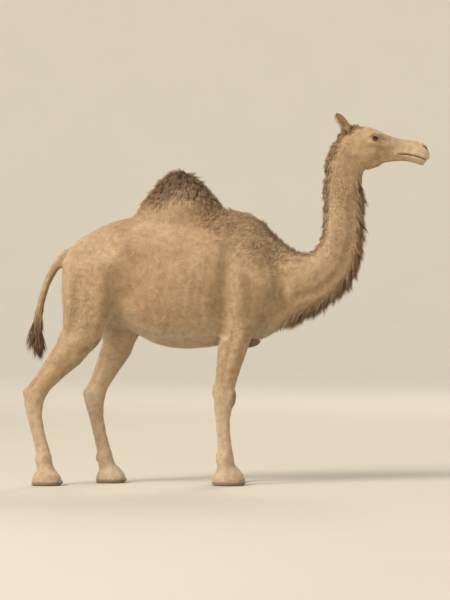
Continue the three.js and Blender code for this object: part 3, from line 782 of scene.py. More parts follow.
def build_skin(sizes):
    """One skin over all the flesh, finer on the head and finest at eyes, mouth and nostrils. The ears are
    closed shells whose roots run into it."""
    body = voxel_remeshed(mesh_from(merged_nodes(FLESH, 0.001), "body"), sizes.body_grain)
    points, edges = coordinates(body), edges_of(body)
    slim = smooth_step(1.30, 1.0, points[:, 2]) * smooth_step(0.02, 0.07, np.abs(points[:, 1]))
    slim = np.maximum(slim, near(points, TAIL, 0.06, 0.10))
    points = relaxed(points, edges, 36, held=np.clip(slim * 2, 0, 1))
    move_to(body, relaxed(points, edges, 10, swell=1.04))
    move_to(body, shape_body(body))
    move_to(body, relaxed(coordinates(body), edges, 2, swell=1.02))

    muzzle_names = ["neck_upper", "neck_middle", "head", "lower_jaw", "eye_left", "eye_right"]
    head = voxel_remeshed(mesh_from(merged_nodes(muzzle_names, 0.001), "head"), 0.006)
    move_to(head, relaxed(coordinates(head), edges_of(head), 30, swell=0.85))
    head = voxel_remeshed(head, sizes.head_grain)
    move_to(head, relaxed(coordinates(head), edges_of(head), 3, swell=1.0))
    move_to(head, shape_face(head))

    skin = mesh_from(stitched(half_cut(body, False), half_cut(head, True)), "skin")
    points = coordinates(skin)
    seam = np.abs((points - np.array(NECK_CUT)) @ np.array(NECK_CUT_SLOPE.normalized()))
    seam = np.where(near(points, NECK, 0.25, 0.26) > 0, seam, 1)
    move_to(skin, relaxed(points, edges_of(skin), 40, held=smooth_step(0.02, 0.07, seam)))

    skin = refine(skin, lambda spots: (mouth_distance(spots)[0] < 0.020) | (nostril_distance(spots) < 0.026))
    skin = refine(skin, lambda spots: (mouth_distance(spots)[0] < 0.0085) | (nostril_distance(spots) < 0.013))
    skin = refine(skin, lambda spots: eye_distance(spots) < 0.040)
    skin = refine(skin, lambda spots: eye_distance(spots) < 0.030)
    points = coordinates(skin)
    gap = np.minimum.reduce([mouth_distance(points)[0], nostril_distance(points), eye_distance(points)])
    move_to(skin, relaxed(points, edges_of(skin), 4, held=smooth_step(0.035, 0.045, gap), swell=1.0))
    move_to(skin, shape_mouth(skin))
    points = coordinates(skin)
    gap = np.minimum(mouth_distance(points)[0], nostril_distance(points))
    move_to(skin, relaxed(points, edges_of(skin), 2, held=smooth_step(0.012, 0.020, gap), swell=0.9))
    move_to(skin, shape_feet(skin, coordinates(skin)))
    points = coordinates(skin)
    bare_lids = 1 - smooth_step(0.028, 0.045, eye_distance(points))
    edges = edges_of(skin)
    depth = relaxed((coat_depth(points) * (1 - bare_lids))[:, None] * (1, 0, 0), edges, 12)[:, 0]
    for _ in range(SHRINK_STEPS):
        move_to(skin, coordinates(skin) - depth[:, None] / SHRINK_STEPS * normals_of(skin))
    move_to(skin, relaxed(coordinates(skin), edges, 8, held=smooth_step(0.016, 0.008, depth)))
    move_to(skin, shape_lids(skin))
    shape = bmesh.new()
    shape.from_mesh(skin)
    for side in SIDES.values():
        ear = mesh_from(ear_shape(side), "ear")
        shape.from_mesh(ear)
        bpy.data.meshes.remove(ear)
    return mesh_from(shape, "skin")


# ---- Tufts --------------------------------------------------------------------------------------

TUFT_CORNERS = ((0.5, 0.0), (0.0, 0.36), (-0.5, 0.0))  # its section: shares of its width, across and over
PATCH = 0.003  # each tuft's patch on the coat's map
ROOT_SINK = 0.0015  # how far a tuft's root lies under the skin
SHORT_LEAN, LONG_LEAN, EAR_LEAN = 0.50, 0.30, 0.10  # from the tufts' own normals towards the skin's
DOWN = np.array([0.0, 0.0, -1.0])


def grown(roots, ways, ups, lengths, widths, bends, rings, gather=0.0):
    """The points of many tapered three-sided tufts, and each point's place from root to tip."""
    spot, way = roots - ups * ROOT_SINK, unit(ways)
    rows, places = [], []
    for index in range(rings + 1):
        t = index / rings
        across = unit(np.cross(way, ups))
        over = np.cross(across, way)
        middle = spot + gather * t**1.4
        if index == rings:
            rows.append(middle)
            places.append(1.0)
            break
        wide = widths * (0.75 + t) if t < 0.25 else widths * (1 - ((t - 0.25) / 0.75) ** 1.6)
        for share_across, share_over in TUFT_CORNERS:
            rows.append(middle + across * wide * share_across + over * wide * share_over)
            places.append(t)
        spot = spot + way * lengths / rings
        way = unit(way + bends / rings)
    return np.stack(rows, axis=1), np.array(places)


def tuft_mesh(name, points, places, rings, fields, patches, ups, lean):
    """One mesh of all the tufts, with their attributes, a map in which each is a small patch, and shading
    normals that lean towards the skin's, ups, so that the coat takes the light as a whole."""
    count, size = points.shape[:2]
    quads = [(3 * k + j, 3 * k + 3 + j, 3 * k + 3 + (j + 1) % 3, 3 * k + (j + 1) % 3)
             for k in range(rings - 1) for j in range(3)]
    last = 3 * rings - 3
    ends = [(last + j, size - 1, last + (j + 1) % 3) for j in range(3)] + [(0, 1, 2)]
    starts = np.arange(count)[:, None, None] * size
    kinds = [faces for faces in (quads, ends) if faces]
    corners = [(starts + np.array(faces)[None]).reshape(-1, len(faces[0])) for faces in kinds]
    sizes = np.concatenate([np.full(len(rows), rows.shape[1]) for rows in corners])
    loops = np.concatenate([rows.ravel() for rows in corners]).astype(np.int32)
    mesh = bpy.data.meshes.new(name)
    mesh.vertices.add(count * size)
    mesh.vertices.foreach_set("co", points.astype(np.float32).ravel())
    mesh.loops.add(len(loops))
    mesh.loops.foreach_set("vertex_index", loops)
    mesh.polygons.add(len(sizes))
    mesh.polygons.foreach_set("loop_start", np.concatenate([[0], np.cumsum(sizes)[:-1]]).astype(np.int32))
    mesh.update(calc_edges=True)
    set_attribute(mesh, "tip", np.tile(places, count))
    for field, values in fields.items():
        set_attribute(mesh, field, np.repeat(values, size))
    corner = np.append(np.tile([-0.4, 0.0, 0.4], rings), 0.0)
    spread = np.stack([corner, places - 0.5], axis=1) * PATCH
    layout = (patches[:, None, :] * (1 - PATCH) + PATCH / 2 + spread[None]).reshape(-1, 2)
    layer = mesh.uv_layers.new(name="OFBake")
    layer.data.foreach_set("uv", layout[loops].astype(np.float32).ravel())
    mesh.polygons.foreach_set("use_smooth", np.ones(len(sizes), bool))
    leaning = normals_of(mesh) * (1 - lean) + np.repeat(ups, size, axis=0) * lean
    mesh.normals_split_custom_set_from_vertices(unit(leaning))
    return mesh


def unwrapped(points, path):
    """Places on a map of the skin unrolled round a middle line: how far along it, and the angle round it."""
    path = np.asarray(path, float)
    share = to_path(points, path)[1] * (len(path) - 1)
    segment = np.clip(share.astype(int), 0, len(path) - 2)
    start, way = path[segment], (path[1:] - path[:-1])[segment]
    length = np.linalg.norm(way, axis=1)
    away = points - start
    t = (away * way).sum(axis=1) / length**2
    t = np.where((segment > 0) & (t < 0), 0, t)
    t = np.where((segment < len(path) - 2) & (t > 1), 1, t)
    along = segment + t
    across = np.cross(way / length[:, None], np.array([0.0, 1.0, 0.0]))
    round_it = np.arctan2(away[:, 1], (away * across).sum(axis=1)) / (2 * math.pi) + 0.5
    along = (along - along.min()) / max(float(np.ptp(along)), 1e-6)
    return np.stack([along, round_it], axis=1)


class SkinMap:
    """The skin's triangles, from which roots for the coat are drawn."""

    def __init__(self, mesh):
        mesh.calc_loop_triangles()
        self.points, self.normals = coordinates(mesh), normals_of(mesh)
        self.corners = read(mesh.loop_triangles, "vertices", 3, np.int32)
        a, b, c = (self.points[self.corners[:, k]] for k in range(3))
        self.areas = np.linalg.norm(np.cross(b - a, c - a), axis=1) / 2
        self.middles = (a + b + c) / 3
        closest = closeness(self.middles)
        self.part = np.argmin(closest, axis=1)
        marks = markings(self.middles)
        eyes = np.stack([np.array(middle_of("eye_" + side)) for side in SIDES])
        to_eye = np.min(np.linalg.norm(self.middles[:, None] - eyes[None], axis=2), axis=1)
        self.furred = smooth_step(0.90, 0.35, marks["bare"]) * (1 - marks["moist"])
        self.furred *= smooth_step(0.0262, 0.032, to_eye)
        self.furred *= smooth_step(0.0095, 0.0150, nostril_distance(self.middles))
        self.fields = hair_fields(self.middles)

    def draw(self, count, density, rng):
        """Roots drawn evenly over the skin by density: their points and normals."""
        weights = np.cumsum(self.areas * density * self.furred)
        spots = (np.arange(count) + rng.random(count)) * weights[-1] / count
        chosen = self.corners[np.searchsorted(weights, spots)]
        one, two = rng.random((2, count, 1))
        fold = one + two > 1
        one, two = np.where(fold, 1 - one, one), np.where(fold, 1 - two, two)
        mixed = [
            values[chosen[:, 0]] * (1 - one - two) + values[chosen[:, 1]] * one + values[chosen[:, 2]] * two
            for values in (self.points, self.normals)
        ]
        return mixed[0], unit(mixed[1])


def gathered(roots, count, rng):
    """For each root, the way to the middle of the lock that it belongs to, and that lock's number."""
    centres = roots[rng.choice(len(roots), count, replace=False)]
    nearest = np.zeros(len(roots), int)
    best = np.full(len(roots), np.inf)
    for index, centre in enumerate(centres):
        gap = np.linalg.norm(roots - centre, axis=1)
        closer = gap < best
        best[closer] = gap[closer]
        nearest[closer] = index
    return centres[nearest] - roots, nearest


UNDER_LONG_HAIR = {"hump": 0.045, "shoulder": 0.038, "nape": 0.036, "throat": 0.040, "crown": 0.024}
EAR_HAIR = 0.015


def short_lengths(points, fields):
    """The short coat's length at each point."""
    height = points[:, 2]
    length = 0.010 + 0.015 * smooth_step(0.55, 1.20, height)
    for field, most in UNDER_LONG_HAIR.items():
        length = np.maximum(length, most * fields[field])
    along = in_head(points)[:, 0]
    face = 0.0115 - 0.0060 * smooth_step(0.15, 0.45, along)
    length = length * (1 - fields["face"]) + face * fields["face"]
    ears = np.max([near(points, line, 0.035, 0.055) for line in EARS.values()], axis=0)
    return length * (1 - ears) + EAR_HAIR * ears


LONG_HAIR = {  # field, strands, locks, length, width, lift, droop, curl
    "hair_hump": ("hump", 5600, 330, 0.072, 0.0056, 0.70, 0.65, 0.55),
    "hair_shoulders": ("shoulder", 4800, 360, 0.052, 0.0056, 0.42, 0.45, 0.55),
    "hair_nape": ("nape", 4400, 300, 0.052, 0.0050, 0.60, 0.60, 0.50),
    "hair_throat": ("throat", 8200, 420, 0.125, 0.0052, 0.42, 1.10, 0.45),
    "hair_crown": ("crown", 1300, 90, 0.050, 0.0045, 0.85, 0.60, 0.70),
    "hair_tail": ("tail", 1700, 60, 0.185, 0.0050, 0.22, 0.90, 0.30),
}
UNWRAP_LINES = {
    "hair_hump": HUMP_AXIS,
    "hair_shoulders": SPINE,
    "hair_nape": NECK,
    "hair_throat": NECK,
    "hair_crown": MUZZLE,
    "hair_tail": TAIL,
}
LONG_RINGS, SHORT_RINGS = 4, 1
LEAST_HAIR = 0.12  # of a field of longer hair, below which none of it grows
LOCK_PULL = 0.62  # how far a strand's tip leans to the middle of its lock, as a share of the way there
MOST_TUFTS = 49900  # in one short-coated piece, of 4 triangles each
EYE_SEED, COAT_SEED, HAIR_SEED = 7, 100, 300

# ---- Materials ----------------------------------------------------------------------------------

BLACK = (0.0, 0.0, 0.0, 1.0)
PUPIL_BLACK = (0.002, 0.002, 0.003, 1.0)
BACKDROP_FROM = (10.0, 26.0)  # distances over which the floor's colour turns into the backdrop's
WALL_GLOW = 0.22  # makes up for the lights' falling off towards the wall


class Signal:
    """A value in a material; arithmetic on it adds the Math nodes that work it out."""

    def __init__(self, surface, socket):
        self.surface, self.socket = surface, socket

    def math(self, operation, one, two):
        return self.surface.node("ShaderNodeMath", {"operation": operation}, {0: one, 1: two})

    def __add__(self, other):
        return self.math("ADD", self, other)

    def __sub__(self, other):
        return self.math("SUBTRACT", self, other)

    def __rsub__(self, other):
        return self.math("SUBTRACT", other, self)

    def __mul__(self, other):
        return self.math("MULTIPLY", self, other)

    __radd__ = __add__
    __rmul__ = __mul__


class Surface:
    """A material being put together round its Principled shader."""

    def __init__(self, name, roughness, **constants):
        self.material = bpy.data.materials.new(name)
        self.material.use_nodes = True
        self.tree = self.material.node_tree
        self.shader = self.tree.nodes["Principled BSDF"]
        self.shader.inputs["Roughness"].default_value = roughness
        for socket, value in constants.items():
            self.shader.inputs[socket.replace("_", " ").title().replace("Ior", "IOR")].default_value = value
        self.place = self.node("ShaderNodeTexCoord", {}, {}, "Object")

    def node(self, kind, settings, inputs, output=0):
        """Adds a node: its settings first, then the values and links of its sockets."""
        made = self.tree.nodes.new(kind)
        for field, value in settings.items():
            setattr(made, field, value)
        for key, value in inputs.items():
            if isinstance(value, Signal):
                self.tree.links.new(value.socket, made.inputs[key])
            else:
                made.inputs[key].default_value = value
        return Signal(self, made.outputs[output])

    def attribute(self, name):
        return self.node("ShaderNodeAttribute", {"attribute_name": name}, {}, "Fac")

    def mix(self, share, first, second):
        return self.node("ShaderNodeMix", {"data_type": "RGBA"}, {0: share, 6: first, 7: second}, 2)

    def scaled(self, colour, amount):
        return self.node("ShaderNodeVectorMath", {"operation": "SCALE"}, {0: colour, 3: amount})

    def stretched(self, scales):
        return self.node("ShaderNodeVectorMath", {"operation": "MULTIPLY"}, {0: self.place, 1: scales})

    def noise(self, scale, detail=3.0, roughness=0.55, at=None):
        inputs = {"Vector": at or self.place, "Scale": scale, "Detail": detail, "Roughness": roughness}
        return self.node("ShaderNodeTexNoise", {}, inputs)

    def cracks(self, scale):
        """0 in the cracks between the cells of a leathery skin, 1 on the cells."""
        inputs = {"Vector": self.place, "Scale": scale}
        edge = self.node("ShaderNodeTexVoronoi", {"feature": "DISTANCE_TO_EDGE"}, inputs)
        return self.between(edge, 0.0, 0.20)

    def between(self, value, low, high):
        """0 below low and 1 above high, smoothly."""
        kind = {"interpolation_type": "SMOOTHSTEP"}
        return self.node("ShaderNodeMapRange", kind, {"Value": value, "From Min": low, "From Max": high})

    def feed(self, socket, value):
        self.tree.links.new(value.socket, self.shader.inputs[socket])

    def bump(self, height, distance, strength=1.0):
        inputs = {"Height": height, "Distance": distance, "Strength": strength}
        self.feed("Normal", self.node("ShaderNodeBump", {}, inputs))


def coat_colour(surface, colours):
    """The hair's colour: sandy, with browner wool and paler undersides, in drifts and small clumps."""
    drift = surface.between(surface.noise(2.6, 4.0, 0.6), 0.35, 0.68)
    clump = surface.between(surface.noise(26.0, 5.0, 0.7), 0.34, 0.72)
    colour = surface.mix(drift, colours.sand, colours.tan)
    dark = surface.attribute("dark") * (0.80 + 0.35 * surface.noise(9.0, 2.0))
    colour = surface.mix(surface.between(dark, 0.02, 1.0), colour, colours.brown)
    colour = surface.mix(surface.attribute("pale"), colour, colours.cream)
    return surface.scaled(colour, 1.10 - 0.30 * clump)


def hair_material(name, colours, depth):
    """Hair that is darker at its roots and lighter at its tips; depth is how strong that is."""
    surface = Surface(name, 0.62, specular_ior_level=0.28, sheen_weight=0.12, sheen_roughness=0.5)
    light = (1.04 - depth) + depth * surface.attribute("tip") + 0.14 * (surface.attribute("shade") - 0.5)
    surface.feed("Base Color", surface.scaled(coat_colour(surface, colours), light))
    return surface.material


def skin_material(colours):
    """The skin as it shows between the hairs, darkened as painted shade under the coat, with fine flat fur,
    hard calluses and moist lips, whose dark colour is also painted shade in the mouth's line and the nostril
    slits.
    """
    surface = Surface("skin", 0.70, specular_ior_level=0.25, sheen_weight=0.15, sheen_roughness=0.5)
    bare = surface.between(surface.attribute("bare") + 0.55 * (surface.noise(45.0) - 0.5), 0.20, 0.85)
    moist = surface.between(surface.attribute("moist"), 0.15, 0.85)
    upright = surface.noise(1.0, 5.0, 0.6, surface.stretched((260.0, 260.0, 34.0)))
    level = surface.noise(1.0, 5.0, 0.6, surface.stretched((40.0, 260.0, 170.0)))
    lying = surface.attribute("upright")
    fur = upright * lying + level * (1 - lying)
    leather = surface.cracks(230.0)
    # Painted shade: the skin's colour is the hair's, darkened to between 0.60 and 1.02 of it as the shade
    # that falls between the tufts, and streaked by the fine fur.
    colour = surface.scaled(coat_colour(surface, colours), 0.60 + 0.42 * fur)
    callus = surface.mix(surface.noise(24.0), colours.callus, colours.callus_light)
    callus = surface.scaled(callus, 0.90 + 0.10 * leather)
    colour = surface.mix(bare, colour, callus)
    # Dark moist skin, which is also painted shade along the line between the lips and inside the nostril
    # slits.
    colour = surface.mix(moist, colour, colours.lips)
    surface.feed("Base Color", colour)
    surface.feed("Roughness", 0.72 - 0.10 * bare - 0.34 * moist)
    surface.bump(fur * (1 - bare) + 0.35 * leather * bare, 0.0030, 0.8)
    return surface.material


def callus_material(colours):
    """Thick grey-brown pad skin, cracked and worn."""
    surface = Surface("callus", 0.72, specular_ior_level=0.3)
    leather = surface.cracks(150.0)
    worn = surface.between(surface.noise(18.0, 4.0), 0.40, 0.70)
    colour = surface.mix(worn, colours.callus, colours.callus_light)
    surface.feed("Base Color", surface.scaled(colour, 0.80 + 0.20 * leather))
    surface.feed("Roughness", 0.62 + 0.2 * worn)
    surface.bump(leather + 0.4 * surface.noise(160.0), 0.0020)
    return surface.material


def horn_material(colours):
    """Toenail horn: grey-brown, in fine growth bands."""
    surface = Surface("horn", 0.42, specular_ior_level=0.5)
    bands = surface.noise(1.0, 4.0, 0.6, surface.stretched((420.0, 60.0, 60.0)))
    streaks = surface.noise(1.0, 3.0, 0.6, surface.stretched((40.0, 420.0, 120.0)))
    colour = surface.mix(0.3 + 0.5 * surface.between(bands, 0.30, 0.75), colours.horn, colours.horn_light)
    surface.feed("Base Color", surface.scaled(colour, 0.86 + 0.24 * streaks))
    surface.feed("Roughness", 0.46 + 0.28 * surface.noise(90.0))
    surface.bump(bands + 0.5 * streaks, 0.0003)
    return surface.material


def eye_material(colours):
    """A dark wet eye: brown iris with fine rays, level pupil and dark rim."""
    surface = Surface("eye", 0.06, coat_weight=0.4, coat_roughness=0.02, specular_ior_level=0.45, ior=1.40)
    rays = surface.noise(260.0, 3.0)
    iris = surface.mix(rays, colours.iris, colours.iris_light)
    colour = surface.mix(surface.attribute("iris"), colours.eye_rim, iris)
    surface.feed("Base Color", surface.mix(surface.attribute("pupil"), colour, PUPIL_BLACK))
    surface.feed("Roughness", 0.05 + 0.03 * surface.noise(40.0))
    return surface.material


def lash_material(colours):
    """Dark lashes, a little browner at their tips."""
    surface = Surface("lashes", 0.5, specular_ior_level=0.4)
    colour = surface.mix(surface.attribute("tip"), colours.lips, colours.brown)
    surface.feed("Base Color", surface.scaled(colour, 0.5))
    return surface.material


def ground_material(colours):
    """A plain pale studio floor, which turns into the paler backdrop further out."""
    surface = Surface("studio_floor", 0.85, specular_ior_level=0.2)
    mottled = surface.noise(0.8, 5.0)
    reach = surface.node("ShaderNodeVectorMath", {"operation": "LENGTH"}, {0: surface.place}, "Value")
    far = surface.between(reach, *BACKDROP_FROM)
    colour = surface.mix(far, colours.floor, colours.backdrop)
    surface.feed("Base Color", surface.scaled(colour, 0.97 + 0.06 * mottled))
    surface.feed("Emission Color", surface.mix(far, BLACK, colours.backdrop))
    surface.shader.inputs["Emission Strength"].default_value = WALL_GLOW
    surface.feed("Roughness", 0.80 + 0.1 * surface.noise(6.0))
    return surface.material


# ---- Settings -----------------------------------------------------------------------------------


def colour_property(label, about, value):
    return FloatVectorProperty(name=label, description=about, default=(*value, 1.0), size=4, min=0, max=1,
                               subtype="COLOR")


def size_property(label, about, value):
    return FloatProperty(name=label, description=about, default=value, min=0.0005, unit="LENGTH",
                         subtype="DISTANCE")


def light_property(label, about, value):
    return FloatProperty(name=label, description=about, default=value, min=0)


class CamelSizes(bpy.types.PropertyGroup):
    """Mesh grain and coat of the animal."""

    body_grain: size_property("Body grain", "Mesh size on the body's skin", 0.015)
    head_grain: size_property("Head grain", "Mesh size on the head's skin", 0.0048)
    tuft_share: FloatProperty(name="Tuft width", description="A short tuft's width as a share of its length",
                              default=0.21, min=0.05, max=0.5, subtype="FACTOR")
    lash_length: size_property("Lashes", "Length of the upper eyelashes", 0.034)
    short_tufts: IntProperty(name="Short tufts", description="How many tufts the short coat has in all",
                             default=215000, min=1000)


class CamelColours(bpy.types.PropertyGroup):
    """Colours of the coat, skin, horn and eyes, and of the floor."""

    sand: colour_property("Sand", "Lighter hair of the flanks", (0.560, 0.385, 0.225))
    tan: colour_property("Tan", "Deeper hair of the flanks", (0.450, 0.285, 0.150))
    brown: colour_property("Brown", "Wool of the hump, neck and tail", (0.165, 0.088, 0.042))
    cream: colour_property("Cream", "Hair of the belly, inner legs and muzzle", (0.700, 0.560, 0.395))
    callus: colour_property("Callus", "Hard bare skin", (0.185, 0.128, 0.086))
    callus_light: colour_property("Worn callus", "Hard bare skin where it is worn", (0.310, 0.232, 0.162))
    # The lips' colour is also painted shade along the line between the lips and inside the nostril slits.
    lips: colour_property("Lips", "Moist skin of lips, nostrils and lids", (0.080, 0.050, 0.038))
    horn: colour_property("Horn", "Toenails", (0.105, 0.082, 0.062))
    horn_light: colour_property("Pale horn", "Paler bands of the toenails", (0.250, 0.200, 0.150))
    iris: colour_property("Iris", "Iris", (0.030, 0.012, 0.006))
    iris_light: colour_property("Iris rays", "Rays of the iris", (0.110, 0.048, 0.018))
    eye_rim: colour_property("Eye rim", "The eyeball round the iris", (0.030, 0.018, 0.014))
    floor: colour_property("Floor", "Floor under the animal", (0.500, 0.450, 0.366))
    backdrop: colour_property("Backdrop", "Wall that the floor curves up into", (0.745, 0.690, 0.585))


class CamelStage(bpy.types.PropertyGroup):
    """Camera and lights."""

    camera_distance: size_property("Camera distance", "From the camera to the animal's middle plane", 20.0)
    picture_height: size_property("Picture height", "Height that the picture spans at the middle plane", 4.2)
    key_power: light_property("Key light", "Power in watts of the large soft light", 5400.0)
    fill_power: light_property("Fill light", "Power in watts of the light opposite it", 420.0)
    rim_power: light_property("Rim light", "Power in watts of the light from behind", 1500.0)
    sky: light_property("Sky", "Strength of the even light all round", 0.52)


PICTURE_MIDDLE = 1.288  # the level of the picture's middle
FLOOR_REACH, FLOOR_BEND, WALL_RISE = 30.0, 14.0, 8.0  # level radius, radius of the bend, straight wall
FLOOR_RINGS = (0.02, 2.0, 6.0, 15.0, FLOOR_REACH)
BEND_STEPS, ROUND_STEPS = 12, 96
SKY_COLOUR = (1.0, 0.98, 0.95, 1.0)
LIT_SPOT = Vector((0, 0, 1.2))  # where the lights point
LIGHTS = {  # place, size, colour
    "key": ((-13.0, -10.0, 14.5), 8.0, (1.0, 0.97, 0.92)),
    "fill": ((12.0, -9.0, 6.0), 8.0, (0.94, 0.97, 1.0)),
    "rim": ((4.0, 15.0, 12.0), 7.0, (1.0, 0.98, 0.95)),
}

# ---- Operators ----------------------------------------------------------------------------------


class CAMEL_OT_skin(bpy.types.Operator):
    """Build the skin over the animal's solids"""

    bl_idname = "camel.skin"
    bl_label = "Skin"
    bl_options = {"REGISTER", "UNDO"}

    def execute(self, context):
        sizes, colours = context.scene.camel_sizes, context.scene.camel_colours
        mesh = build_skin(sizes)
        points = coordinates(mesh)
        for field, values in markings(points).items():
            set_attribute(mesh, field, values)
        weights = np.exp(-4.0 * closeness(points))
        level = weights[:, [BONE_NAMES.index(part) for part in ("trunk", "head")]].sum(axis=1)
        set_attribute(mesh, "upright", 1 - level / weights.sum(axis=1))
        finish_piece("skin", mesh, skin_material(colours), FLESH)
        return {"FINISHED"}


class CAMEL_OT_eyes(bpy.types.Operator):
    """Build the two eyes and their lashes"""

    bl_idname = "camel.eyes"
    bl_label = "Eyes and lashes"
    bl_options = {"REGISTER", "UNDO"}

    def execute(self, context):
        sizes, colours = context.scene.camel_sizes, context.scene.camel_colours
        glass, hair = eye_material(colours), lash_material(colours)
        rng = np.random.default_rng(EYE_SEED)
        for name, side in SIDES.items():
            self.eyeball(name, side, glass)
            self.lashes(name, side, hair, sizes.lash_length, rng)
        return {"FINISHED"}

    def eyeball(self, name, side, material):
        """A ball with a slightly raised cornea, and its iris and pupil as attributes."""
        centre, _, _, out = eye_axes(side)
        gaze = unit(out + np.array([0.22, 0, -0.02]))
        level = unit(np.cross(gaze, [0, 0, 1.0]))
        shape = bmesh.new()
        bmesh.ops.create_icosphere(shape, subdivisions=6, radius=EYE_RADIUS)
        mesh = mesh_from(shape, "eye")
        points = coordinates(mesh)
        ways = unit(points)
        angle = np.arccos(np.clip(ways @ gaze, -1, 1))
        cornea = smooth_step(0.66, 0.10, angle) * 0.0011
        move_to(mesh, centre + points + ways * cornea[:, None])
        wide, tall = ways @ level, ways @ np.cross(level, gaze)
        pupil = np.hypot(wide / 0.34, tall / 0.20)
        set_attribute(mesh, "iris", smooth_step(0.72, 0.62, angle))
        set_attribute(mesh, "pupil", smooth_step(1.08, 0.92, pupil) * (ways @ gaze > 0))
        finish_piece("eyeball_" + name, mesh, material, ["eye_" + name])

    def lashes(self, name, side, material, length, rng):
        """Lashes in a fan along both lids, the upper ones longer."""
        centre, along, up, out = eye_axes(side)
        rows = []
        for upper, count, share in ((True, 46, 1.0), (False, 26, 0.50)):
            across = np.linspace(-0.93, 0.95, count) * LID_HALF_WIDTH + rng.normal(0, 0.0003, count)
            level = lid_levels(across)[0 if upper else 1] + (0.0010 if upper else -0.0010)
            rise = np.sqrt((EYE_RADIUS + LID_THICKNESS) ** 2 - across**2 - level**2)
            spots = centre + np.outer(across, along) + np.outer(level, up) + np.outer(rise, out)
            fan = across / LID_HALF_WIDTH
            lean = (-0.30 if upper else -0.75) + rng.normal(0, 0.08, count)
            ways = out + np.outer(fan * 0.55 + rng.normal(0, 0.06, count), along) + np.outer(lean, up)
            bends = np.outer(np.full(count, 0.45 if upper else -0.1), up) + np.outer(fan * 0.2, along)
            lengths = length * share * (0.80 + 0.25 * rng.random(count)) * (1 - 0.25 * fan**2)
            rows.append((spots, ways, bends, lengths))
        spots, ways, bends, lengths = (np.concatenate(part) for part in zip(*rows))
        ups = unit(np.cross(ways, np.cross(np.tile(up, (len(ways), 1)), ways)))
        widths = np.full((len(spots), 1), 0.0012)
        points, places = grown(spots, ways, ups, lengths[:, None], widths, bends, LONG_RINGS)
        patches = unwrapped(spots, [centre - along * 0.02, centre + along * 0.02])
        mesh = tuft_mesh("lashes", points, places, LONG_RINGS, {}, patches, ups, 0.0)
        finish_piece("lashes_" + name, mesh, material)


NAIL_BACK, NAIL_DOWN = 0.011, 0.006
PAD_GRAIN, PAD_LIFT = 0.005, 0.006


class CAMEL_OT_horn(bpy.types.Operator):
    """Build the toenails and the callus under the chest"""

    bl_idname = "camel.horn"
    bl_label = "Toenails and chest callus"
    bl_options = {"REGISTER", "UNDO"}

    def execute(self, context):
        colours = context.scene.camel_colours
        horn = horn_material(colours)
        for name in NAILS:
            finish_piece(name + "_horn", self.nail(name), horn, [name])
        self.chest_callus(callus_material(colours))
        return {"FINISHED"}

    def nail(self, name):
        """A rounded, ridged nail, sunk back and down into its toe and lower towards its tip."""
        shape = merged_nodes([name], 0.0)
        bmesh.ops.subdivide_edges(shape, edges=shape.edges, cuts=3, use_grid_fill=True)
        for _ in range(6):
            bmesh.ops.smooth_vert(shape, verts=shape.verts, factor=0.5, use_axis_x=True, use_axis_y=True,
                                  use_axis_z=True)
        shape.normal_update()
        low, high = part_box(name)
        middle = (low + high) / 2
        for vert in shape.verts:
            share = (vert.co.x - low.x) / (high.x - low.x)
            vert.co += vert.normal * (0.0012 + 0.0002 * math.sin(share * 60))
            vert.co.x = middle.x - NAIL_BACK + (vert.co.x - middle.x) * 0.90
            vert.co.y = middle.y + (vert.co.y - middle.y) * (1.20 - 0.12 * share)
            vert.co.z = low.z - NAIL_DOWN + (vert.co.z - low.z) * (1.04 - 0.30 * share)
        return mesh_from(shape, name)

    def chest_callus(self, material):
        """The thick callus that the animal rests its chest on, ridged round its rim."""
        pad = voxel_remeshed(mesh_from(merged_nodes(["chest_pad"], 0.0), "pad"), PAD_GRAIN)
        edges = edges_of(pad)
        move_to(pad, relaxed(coordinates(pad), edges, 14, swell=0.6))
        points, normals = coordinates(pad), normals_of(pad)
        x, y = points[:, 0], points[:, 1]
        ridges = np.sin(x * 190 + 2.5 * np.sin(y * 60)) * np.sin(y * 150 + 1.3)
        rim = smooth_step(0.55, 0.95, np.abs(normals[:, 2]))
        points = points + (0.0016 * ridges * rim)[:, None] * normals
        move_to(pad, points + np.array([0, 0, PAD_LIFT]))
        finish_piece("chest_callus", pad, material, ["chest_pad"])


